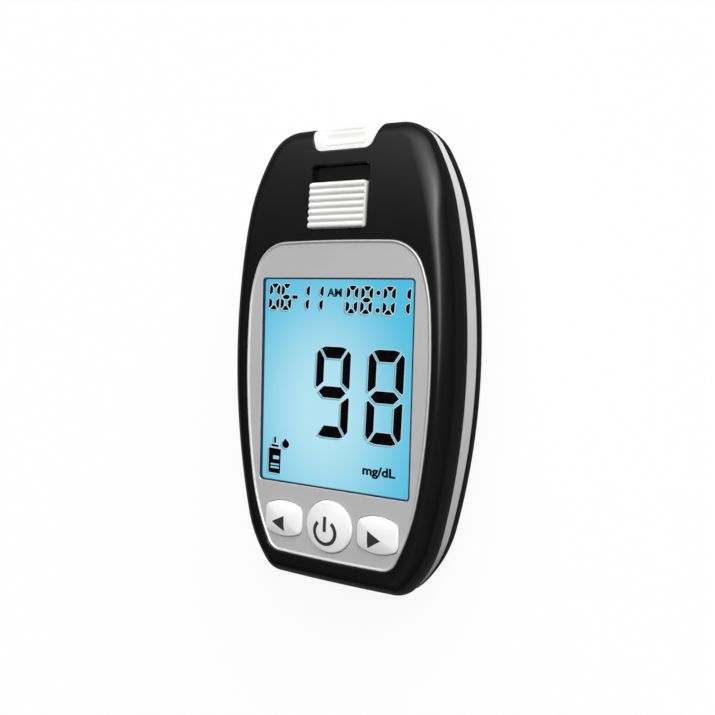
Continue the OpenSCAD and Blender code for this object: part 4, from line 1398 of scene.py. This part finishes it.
@dataclass
class Keys:
    """The three domed keys and the symbols printed on them."""

    edge: float = 0.5
    crown: float = 0.5
    base_z: float = 15.6
    flange_z: float = 16.7
    flange_grow: float = 0.35
    ring_at: Pair = (-0.56, -35.6)
    ring_r: float = 2.49
    stroke: float = 0.76
    ink_t: float = 0.012
    left_mark: Sequence[Sequence[float]] = ((-13.9, -35.3), (-10.76, -33.72), (-10.76, -37.11))
    right_mark: Sequence[Sequence[float]] = ((12.46, -35.3), (9.42, -33.63), (9.42, -37.23))
    domed: tuple[float, ...] = (0.93, 0.85, 0.76, 0.66, 0.55, 0.43, 0.3, 0.16)

    def build(self) -> None:
        """Builds and dresses the keys and their symbols."""
        left, right = triangle(self.left_mark), triangle(self.right_mark)
        kinds = ((Body.LEFT_KEY, "left_button", self.arrow("left_arrow_key", -1), left),
                 (Body.RIGHT_KEY, "right_button", self.arrow("right_arrow_key", 1), right),
                 (Body.POWER_KEY, "power_button", self.power("round_key"), self.power_mark()))
        for body, node, key, cells in kinds:
            mark = self.printed(body.value + "_symbol", cells, key)
            dress(key, KEY_WHITE, body, [node])
            dress(mark, INK, body)

    def power_mark(self) -> list[Plan]:
        """Cells of the open ring and the bar of the round key."""
        (x, y), r, half = self.ring_at, self.ring_r, self.stroke / 2
        start, stop, steps = 132, 412, 56
        cells = []
        for i in range(steps):
            a, b = (math.radians(start + (stop - start) * (i + k) / steps) for k in (0, 1))
            for inner, outer in ((r - half, r), (r, r + half)):
                cells.append([(x + q * math.cos(t), y + q * math.sin(t))
                              for q, t in ((inner, a), (outer, a), (outer, b), (inner, b))])
        low, high, steps = y + 0.1, y + 3.25, 8
        for i in range(steps):
            a, b = (low + (high - low) * (i + k) / steps for k in (0, 1))
            for left, right in ((-half, 0), (0, half)):
                cells.append([(x + left, a), (x + left, b), (x + right, b), (x + right, a)])
        return cells

    def printed(self, name: str, cells: Sequence[Plan], key: Piece) -> Piece:
        """Lays thin ink on the dome of a key.

        Args:
            name: Name of the piece.
            cells: Its small flat cells in plan.
            key: The key under it.

        Returns:
            The ink as a closed solid.
        """
        dome = BVHTree.FromObject(key, bpy.context.evaluated_depsgraph_get())
        points, faces = [], []
        for cell in cells:
            faces.append(range(len(points), len(points) + len(cell)))
            for x, y in cell:
                hit = dome.ray_cast(Vector((x, y, METER.button_top + 5)) * MM, Vector((0, 0, -1)))[0]
                points.append((x, y, hit.z / MM + self.ink_t))
        mark = link_mesh(name, points, faces)
        work = bmesh.new()
        work.from_mesh(mark.data)
        grown_faces = bmesh.ops.extrude_face_region(work, geom=list(work.faces))["geom"]
        for v in grown_faces:
            if isinstance(v, bmesh.types.BMVert):
                v.co.z -= 4 * self.ink_t * MM
        bmesh.ops.recalc_face_normals(work, faces=work.faces)
        work.to_mesh(mark.data)
        work.free()
        return mark

    def arrow(self, name: str, side: int) -> Piece:
        """One of the two barrel shaped keys."""
        line = METER.arrow_line()
        shoulder = METER.button_top - self.crown
        at = (side * METER.arrow_x, METER.button_y)

        def ring(depth: float, z: float, share: float = 1.0) -> Ring:
            """The key's outline moved in, then drawn in toward the middle."""
            return [(x * share + at[0], y * share + at[1], z) for x, y in inset(line, depth)]

        rings = [ring(0, self.base_z)]
        rings += [ring(self.edge * (1 - cosine(a)),
                       shoulder - self.edge * (1 - sine(a))) for a in range(0, 91, 15)]
        rings += [ring(self.edge, shoulder + self.crown * (1 - s * s), s) for s in self.domed]
        key = loft(name, rings)
        flange = prism("flange", [(x + at[0], y * 1.09 + at[1]) for x, y in inset(line, 0.01)], self.base_z,
                       self.flange_z)
        return carve(key, [flange], "UNION")

    def power(self, name: str) -> Piece:
        """The round key in the middle."""
        r = METER.power_d / 2
        inner = r - self.edge
        shoulder = METER.button_top - self.crown
        crown_r = (inner ** 2 + self.crown ** 2) / (2 * self.crown)
        wide = r + self.flange_grow
        profile = [(0, self.base_z), (wide, self.base_z), (wide, self.flange_z), (r, self.flange_z)]
        profile += [(inner + self.edge * cosine(a),
                     shoulder - self.edge + self.edge * sine(a)) for a in range(0, 90, 15)]
        profile += [(inner * s, METER.button_top - crown_r + math.sqrt(crown_r ** 2 - (inner * s) ** 2))
                    for s in (1, *self.domed)]
        return turned(name, [*profile, (0, METER.button_top)], (0, METER.button_y), 96)


# ---- Keypad, strip port and ejector -----------------------------------------------------------


@dataclass
class Keypad:
    """The silicone sheet over the domes, with a post under each key."""

    low_z: float = 13.6
    sheet_z: float = 14.2
    post_z: float = 15.6
    post_r: float = 2.3
    margin: float = 1.2
    travel: float = 0.6

    def build(self) -> None:
        """Builds and dresses the sheet and its posts."""
        w, l = 2 * METER.arrow_x + METER.arrow_w, METER.arrow_l + 2 * self.margin
        sheet = prism("keypad_sheet", rounded_plan(w, l, 0.8, (0, METER.button_y)), self.low_z, self.sheet_z)
        dress(sheet, SILICONE, Body.HOUSING, ["keypad"])
        # A fillet at the foot of the post and a rounded edge at its top
        foot, top, r = self.sheet_z - 0.05, self.post_z, self.post_r
        profile = [(0, foot), (r + 0.25, foot), (r + 0.08, foot + 0.2), (r, foot + 0.45), (r, top - 0.2),
                   (r - 0.06, top - 0.06), (r - 0.2, top), (0, top)]
        for name, side in (("left", -1), ("power", 0), ("right", 1)):
            at = (side * METER.arrow_x, METER.button_y)
            post = turned(name + "_keypad_post", profile, at)
            dress(post, SILICONE, Body.HOUSING)
            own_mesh(post)


@dataclass
class StripPort:
    """The white insert at the end, with a thumb scoop over the slot."""

    gap: float = 0.06
    under_face: float = 0.2
    slot: Triple = (7.6, 13.85, 14.95)
    scoop_floor: Sequence[Pair] = ((0.45, 0.75), (0.95, 0.38), (1.8, 0.2))
    slot_depth: float = 6.5
    scoop_w: float = 9.6
    scoop_y: float = 43.3
    roof_z: float = 15.25
    edge: float = 0.16

    def build(self) -> None:
        """Builds and dresses the insert."""
        port = front_skin("port_insert", self.under_face, 0.0)
        y, past, high = self.scoop_y, METER.half_l + PAST, METER.front_z + PAST
        carve(port, [prism("plan", port_plan(-self.gap), METER.board_top, high)], "INTERSECT")
        top = METER.face_z(y)
        scoop = [(y, top), (y + 0.15, top - 0.9)]
        scoop += [(y + dy, self.roof_z + dz) for dy, dz in self.scoop_floor]
        scoop += [(past, self.roof_z), (past, high), (y, high)]
        w, z0, z1 = self.slot
        carve(port, [prism_x("scoop", scoop, -self.scoop_w / 2, self.scoop_w / 2),
                     block("slot", (-w / 2, METER.half_l - self.slot_depth, z0), (w / 2, past, z1))])
        bevelled(port, self.edge, 40)
        dress(port, ACETAL, Body.HOUSING, ["strip_port"])


@dataclass
class Ejector:
    """The ribbed slider that pushes a used strip out."""

    w: float = 13.2
    foot_y: float = 26.4
    length: float = 9.4
    low_z: float = 16.06
    rise: float = 0.65
    rib_count: int = 7
    rib_depth: float = 0.4
    rib_share: float = 0.8
    rib_root: float = 0.2
    rib_ends: Pair = (0.15, 0.25)
    corner_r: float = 0.7
    cheek_up: float = 0.2
    stem: tuple[float, float, float, float, float] = (2.0, 30.2, 32.2, 15.2, 0.4)
    bevel: float = 0.45
    edge: float = 0.12

    def build(self) -> None:
        """Builds and dresses the slider's body and its ribs."""
        head_y = self.foot_y + self.length
        top = METER.face_z(self.foot_y) + self.rise - self.rib_depth
        fall = METER.face_z(self.foot_y) - METER.face_z(head_y)
        side = [(self.foot_y, self.low_z), (self.foot_y, METER.face_z(self.foot_y) - 0.3),
                (self.foot_y + 0.55, top - 0.05), (head_y, top - fall), (head_y, self.low_z)]
        slider = prism_x("ribbed_slider", side, -self.w / 2, self.w / 2)
        half, bevel, high = self.w / 2, self.bevel, METER.front_z + self.rise
        cheek, low = METER.front_z - bevel + self.cheek_up, self.low_z - PAST
        front = [(-half, low), (half, low), (half, cheek), (half - bevel, high), (-half + bevel, high),
                 (-half, cheek)]
        corners = rounded_plan(self.w, self.length, self.corner_r, (0, self.foot_y + self.length / 2))
        carve(slider, [prism_y("cheeks", front, self.foot_y - PAST, head_y + PAST),
                       prism("corners", corners, low - PAST, high + PAST)], "INTERSECT")
        x, foot_y, end_y, low_z, lap = self.stem
        carve(slider, [block("stem", (-x, foot_y, low_z), (x, end_y, self.low_z + lap))], "UNION")
        bevelled(slider, self.edge, 30)
        dress(slider, ACETAL, Body.EJECTOR, ["ejector_slider"])
        self.ribs(top, fall)

    def ribs(self, top: float, fall: float) -> None:
        """Builds the ribs as a row along the slope.

        Args:
            top: Height of the body under the first rib.
            fall: How far the body falls over its length.
        """
        pitch, down, bulge = self.length / self.rib_count, fall / self.rib_count, 0.6
        reach, low = pitch * self.rib_share / 2, top - self.rib_root - down / 2
        plan = [(self.foot_y + pitch / 2 + reach * cosine(a),
                 low + (self.rib_depth + self.rib_root) * sine(a) ** bulge) for a in range(0, 181, 15)]
        rib = prism_x("slider_ribs", plan, -self.w / 2 + self.rib_ends[0], self.w / 2 - self.rib_ends[1])
        run_tree(rib, row_tree(), {"Count": self.rib_count, "Step": (0, pitch * MM, -down * MM),
                                   "Finish": SHOP.get(ACETAL)})
        dress(rib, ACETAL, Body.EJECTOR)


# ---- Fasteners and springs --------------------------------------------------------------------


@dataclass(frozen=True)
class Screws:
    """A set of four pan head screws with a cross recess, by an upper and a lower place on the right."""

    name: str
    node: str
    r: float
    head_r: float
    head_h: float
    length: float
    seat_z: float
    upper: Pair
    lower: Pair

    def build(self) -> None:
        """Builds and dresses the set."""
        r, head_r, head_h, length = self.r, self.head_r, self.head_h, self.length
        profile = [(0, -head_h), (head_r * 0.55, -head_h), (head_r * 0.85, -head_h * 0.85),
                   (head_r, -head_h * 0.5), (head_r, 0), (r, 0)]
        pitch = 2 * r * 0.4
        for i in range(int((length - 2 * r) / pitch)):
            profile += [(r * 0.8, (i + 0.5) * pitch), (r, (i + 1) * pitch)]
        screw = turned(self.name, [*profile, (r * 0.2, length), (0, length)], (0, 0), 24)
        arms = [block("arm", (-a, -b, -head_h - PAST), (a, b, -head_h * 0.45))
                for a, b in ((head_r * 0.6, head_r * 0.14), (head_r * 0.14, head_r * 0.6))]
        carve(screw, arms)
        run_tree(screw, four_tree(), {"Upper": (*(v * MM for v in self.upper), self.seat_z * MM),
                                      "Lower": (*(v * MM for v in self.lower), self.seat_z * MM),
                                      "Finish": SHOP.get(WIRE)})
        dress(screw, WIRE, Body.HOUSING, [self.node])


CASE_SCREWS = Screws("cross_head_case_screws", "case_screws", r=0.86, head_r=2.0, head_h=1.3, length=9.0,
                     seat_z=6.0, upper=METER.upper_screw, lower=METER.lower_screw)
BOARD_SCREWS = Screws("cross_head_board_screws", "board_screws", r=0.6, head_r=1.3, head_h=0.8, length=3.0,
                      seat_z=12.4, upper=(13.57, 37.6), lower=(11.0, -41.4))


@dataclass(frozen=True)
class Coil:
    """Sizes of a coil spring: its radius at the start and at the end, and the radius of its wire."""

    start: float
    end: float
    wire: float
    turns: float
    height: float


@dataclass
class Springs:
    """The conical battery springs and the two that bring the slider back."""

    bay_coil: Coil = Coil(start=3.0, end=2.0, wire=0.3, turns=3.5, height=3.3)
    slider_coil: Coil = Coil(start=0.8, end=0.8, wire=0.15, turns=7.0, height=7.5)
    slider_at: Triple = (8.97, 29.5, 14.45)
    slider_travel: float = 3.3

    def build(self) -> None:
        """Builds and dresses both pairs."""
        tree = spring_tree()
        foot_y, head_y = METER.bay_foot_y + METER.contact_t, METER.bay_head_y - METER.contact_t
        self.pair(tree, "conical_battery_springs", "battery_springs", self.bay_coil,
                  [((-METER.cell_pitch / 2, foot_y, METER.cell_z), 1),
                   ((METER.cell_pitch / 2, head_y, METER.cell_z), -1)])
        (x, y, z), height = self.slider_at, self.slider_coil.height
        returns = self.pair(tree, "slider_return_springs", "ejector_springs", self.slider_coil,
                            [((-x, y, z), 1), ((x, y, z), 1)])
        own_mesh(returns)

    def pair(self, tree: Tree, name: str, node: str, coil: Coil,
             places: Sequence[tuple[Triple, int]]) -> Piece:
        """Builds two alike springs as one piece.

        Args:
            tree: The spring's tree.
            name: Name of the piece.
            node: The node it stands for.
            coil: The sizes of both.
            places: Where the foot of each stands, and 1 where it points to +Y or -1 where it points to -Y.

        Returns:
            The piece.
        """
        made = []
        for place, toward in places:
            spring = link_mesh(name, [], [])
            foot = Vector(place) + Vector((0, toward * coil.wire, 0))
            run_tree(spring, tree, {"Turns": coil.turns, "Start Radius": coil.start * MM,
                                    "End Radius": coil.end * MM, "Wire": coil.wire * MM,
                                    "Height": (coil.height - 2 * coil.wire) * MM,
                                    "Turn": (math.radians(-90 * toward), 0, 0), "Place": tuple(foot * MM),
                                    "Finish": SHOP.get(WIRE)})
            made.append(spring)
        return dress(joined(name, made), WIRE, Body.HOUSING, [node])


@dataclass
class Cells:
    """The two AAA cells, which lie head to tail in the bay."""

    can_r: float = 5.1
    sleeve_r: float = 5.25
    sleeve_end: float = 0.5
    nub_r: float = 1.9
    nub_h: float = 0.8

    def build(self) -> None:
        """Builds and dresses both cells."""
        long, shoulder = METER.cell_l, METER.cell_l - self.nub_h
        # A rounded foot, a rounded shoulder, a groove round the nub, and the nub itself
        can = [(0, 0), (4.2, 0), (4.7, 0.15), (self.can_r, 0.45), (self.can_r, shoulder - 0.45),
               (4.75, shoulder - 0.12), (4.2, shoulder), (3.3, shoulder), (3.0, shoulder - 0.3),
               (2.3, shoulder - 0.3), (self.nub_r, shoulder - 0.1), (self.nub_r, long - 0.15),
               (self.nub_r - 0.2, long), (0, long)]
        low, high, r = self.sleeve_end, shoulder - self.sleeve_end, self.sleeve_r
        sleeve = [(0, low), (r - 0.06, low), (r, low + 0.1), (r, high - 0.1), (r - 0.06, high), (0, high)]
        tail_y = METER.bay_head_y - METER.contact_t - long
        for side, node, y in ((-1, "left_battery", tail_y), (1, "right_battery", METER.bay_foot_y
                                                             + METER.contact_t + long)):
            turn = Matrix.Translation(Vector((side * METER.cell_pitch / 2, y, METER.cell_z)) * MM)
            turn = turn @ Matrix.Rotation(math.radians(90 * side), 4, "X")
            for name, profile, finish, slot, nodes in ((node + "_can", can, STAMPED, "bright_metal", [node]),
                                                       (node + "_sleeve", sleeve, SLEEVE, "cell_jacket", [])):
                piece = turned(name, profile, (0, 0))
                piece.data.transform(turn)
                dress(piece, finish, Body.HOUSING, nodes)


# ---- Stage ------------------------------------------------------------------------------------


@dataclass(frozen=True)
class Bank:
    """A bank of light on the walls of the room, with soft edges.

    The walls say how bright it is at each bearing from +X, in degrees, where 1 is white. The heights say
    what share of that is left at each sine of the elevation. The bearings turn about a line that leans
    from the vertical by the two values of lean.
    """

    walls: tuple[Pair, ...]
    heights: tuple[Pair, ...]
    lean: Pair = (0.0, 0.0)

    def add(self, tree: Tree, parts: Node) -> Node:
        """Adds its nodes.

        Args:
            tree: The world's tree.
            parts: The node that gives the direction's coordinates.

        Returns:
            The node that gives its brightness in its first output.
        """
        east, north = (math_node(tree, "MULTIPLY_ADD", (parts, "Z"), -lean, (parts, axis))
                       for lean, axis in zip(self.lean, "XY"))
        bearing = math_node(tree, "ARCTAN2", (north, 0), (east, 0))
        turn = add_node(tree, "ShaderNodeMapRange", {"From Min": -math.pi, "From Max": math.pi},
                        {"Value": (bearing, 0)})
        peak = max(level for _, level in self.walls)
        wall = add_node(tree, "ShaderNodeValToRGB", None, {0: (turn, "Result")})
        height = add_node(tree, "ShaderNodeValToRGB", None, {0: (parts, "Z")})
        for ramp, stops in ((wall, [(angle / 360 + 0.5, level / peak) for angle, level in self.walls]),
                            (height, self.heights)):
            for place, _ in stops[1:-1]:
                ramp.color_ramp.elements.new(place)
            for element, (place, level) in zip(ramp.color_ramp.elements, stops):
                element.position, element.color = place, (level, level, level, 1)
        return math_node(tree, "MULTIPLY", (math_node(tree, "MULTIPLY", (wall, 0), (height, 0)), 0), peak)


# A tall window at the upper right that fades toward the strip end, between dim walls
WINDOW = Bank(((-180, 0.06), (-125, 0.08), (-85, 0.18), (-55, 0.1), (-10, 0.08), (15, 0.15), (34, 0.45),
               (40, 3.6), (44, 7.3), (48, 7.3), (54, 4.6), (70, 2.8), (90, 1.8), (112, 1.1), (130, 0.7),
               (142, 0.3), (155, 0.18), (180, 0.06)),
              ((0.0, 0.12), (0.3, 0.42), (0.6, 1.0), (0.85, 1.0), (1.0, 1.0)), (0.1, -0.1))


@dataclass
class Stage:
    """Camera, floor and the light of the room."""

    camera_at: Triple = (85.0, 10.46, 156.64)
    right: Triple = (0.8664, 0.0251, -0.4987)
    up: Triple = (-0.0523, 0.9978, -0.0406)
    back: Triple = (0.4966, 0.0613, 0.8658)
    focal_px: float = 800.0
    frame_px: float = 715.0
    sensor_mm: float = 36.0
    paper_shade: float = 0.1
    paper_mirrored: float = 0.05
    gain: float = 1.08
    low_bearing: float = 66.0
    low_height: float = 9.0
    low_strength: float = 2.2
    low_spread: float = 50.0

    def camera(self) -> None:
        """Sets the camera where the picture was taken from."""
        data = bpy.data.cameras.new("camera")
        data.sensor_width = self.sensor_mm
        data.sensor_fit = "HORIZONTAL"
        data.lens = self.focal_px / self.frame_px * self.sensor_mm
        data.clip_start = 1 * MM
        camera = linked("camera", data)
        turn = Matrix((self.right, self.up, self.back)).transposed().to_4x4()
        camera.matrix_world = Matrix.Translation(Vector(self.camera_at) * MM) @ turn
        bpy.context.scene.camera = camera

    def floor(self) -> None:
        """Lays a floor that looks white to the camera and dim in what mirrors it."""
        half = 3000.0
        floor = link_mesh("floor", [(-half, -half, 0), (half, -half, 0), (half, half, 0), (-half, half, 0)],
                          [(0, 1, 2, 3)])
        material, tree = new_material("white_paper_floor")
        path = add_node(tree, "ShaderNodeLightPath")
        seen = math_node(tree, "MULTIPLY", (path, "Is Camera Ray"), 1 - self.paper_shade)
        mirrored = math_node(tree, "MAXIMUM", (path, "Is Glossy Ray"), (path, "Is Transmission Ray"))
        dimmed = math_node(tree, "MULTIPLY", (mirrored, 0), self.paper_mirrored)
        share = math_node(tree, "MAXIMUM", (seen, 0), (dimmed, 0))
        paper = add_node(tree, "ShaderNodeBsdfDiffuse", {"Color": (*[self.paper_shade] * 3, 1)})
        light = add_node(tree, "ShaderNodeEmission", None, {"Strength": (share, 0)})
        both = add_node(tree, "ShaderNodeAddShader", None, {0: (paper, 0), 1: (light, 0)})
        add_node(tree, "ShaderNodeOutputMaterial", None, {"Surface": (both, 0)})
        floor.data.materials.append(material)

    def world(self) -> None:
        """Lights the room by its window, and shows white to the camera past the floor."""
        world = bpy.data.worlds.new("room")
        world.use_nodes = True
        tree = world.node_tree
        tree.nodes.clear()
        place = add_node(tree, "ShaderNodeTexCoord")
        parts = add_node(tree, "ShaderNodeSeparateXYZ", None, {0: (place, "Generated")})
        window = WINDOW.add(tree, parts)
        total = math_node(tree, "MULTIPLY", (window, 0), self.gain)
        light = add_node(tree, "ShaderNodeBackground", {"Color": (1, 1, 1, 1)}, {"Strength": (total, 0)})
        white = add_node(tree, "ShaderNodeBackground", {"Color": (1, 1, 1, 1), "Strength": 1.0})
        path = add_node(tree, "ShaderNodeLightPath")
        seen = add_node(tree, "ShaderNodeMixShader", None,
                        {0: (path, "Is Camera Ray"), 1: (light, 0), 2: (white, 0)})
        add_node(tree, "ShaderNodeOutputWorld", None, {"Surface": (seen, 0)})
        bpy.context.scene.world = world

    def low_light(self) -> None:
        """Adds a broad low light past the strip end, which the glossy faces don't mirror."""
        data = bpy.data.lights.new("low_light", "SUN")
        data.energy, data.angle = self.low_strength, math.radians(self.low_spread)
        lamp = linked("low_light", data)
        bearing, height = math.radians(self.low_bearing), math.radians(self.low_height)
        flat = math.cos(height)
        toward = Vector((flat * math.cos(bearing), flat * math.sin(bearing), math.sin(height)))
        lamp.rotation_mode = "QUATERNION"
        lamp.rotation_quaternion = toward.to_track_quat("Z", "Y")
        lamp.visible_glossy = False

    def build(self) -> None:
        """Sets up the whole stage."""
        bpy.context.scene.view_settings.view_transform = "Standard"
        self.camera()
        self.floor()
        self.world()
        self.low_light()


# ---- Inside -----------------------------------------------------------------------------------


def dress_inside() -> None:
    """Gives every piece that stays a CAD node its finish."""
    finishes = {"backlight": GUIDE, "display_tray": WHITE_PC, "zebra_strips": RUBBER, "main_board": FR4,
                "processor": EPOXY, "memory_chip": EPOXY, "crystal": STAMPED, "buzzer": FRAME_BLACK,
                "switch_domes": STAMPED, "strip_connector": FRAME_BLACK,
                "strip_contacts": GILT, "ejector_carriage": ACETAL, "battery_plates": STAMPED,
                "battery_link": STAMPED}
    for name, finish in finishes.items():
        paint_node(name, finish)
        LOG.info("%s: %s", name, finish.name)


def main() -> None:
    """Builds the meter and its stage."""
    logging.basicConfig(level=logging.INFO, format="%(name)s %(message)s")
    Stage().build()
    Housing().build()
    BatteryDoor().build()
    Face().build()
    Display().build()
    Keys().build()
    Keypad().build()
    StripPort().build()
    Ejector().build()
    CASE_SCREWS.build()
    BOARD_SCREWS.build()
    Springs().build()
    Cells().build()
    dress_inside()


if __name__ == "__main__":
    main()
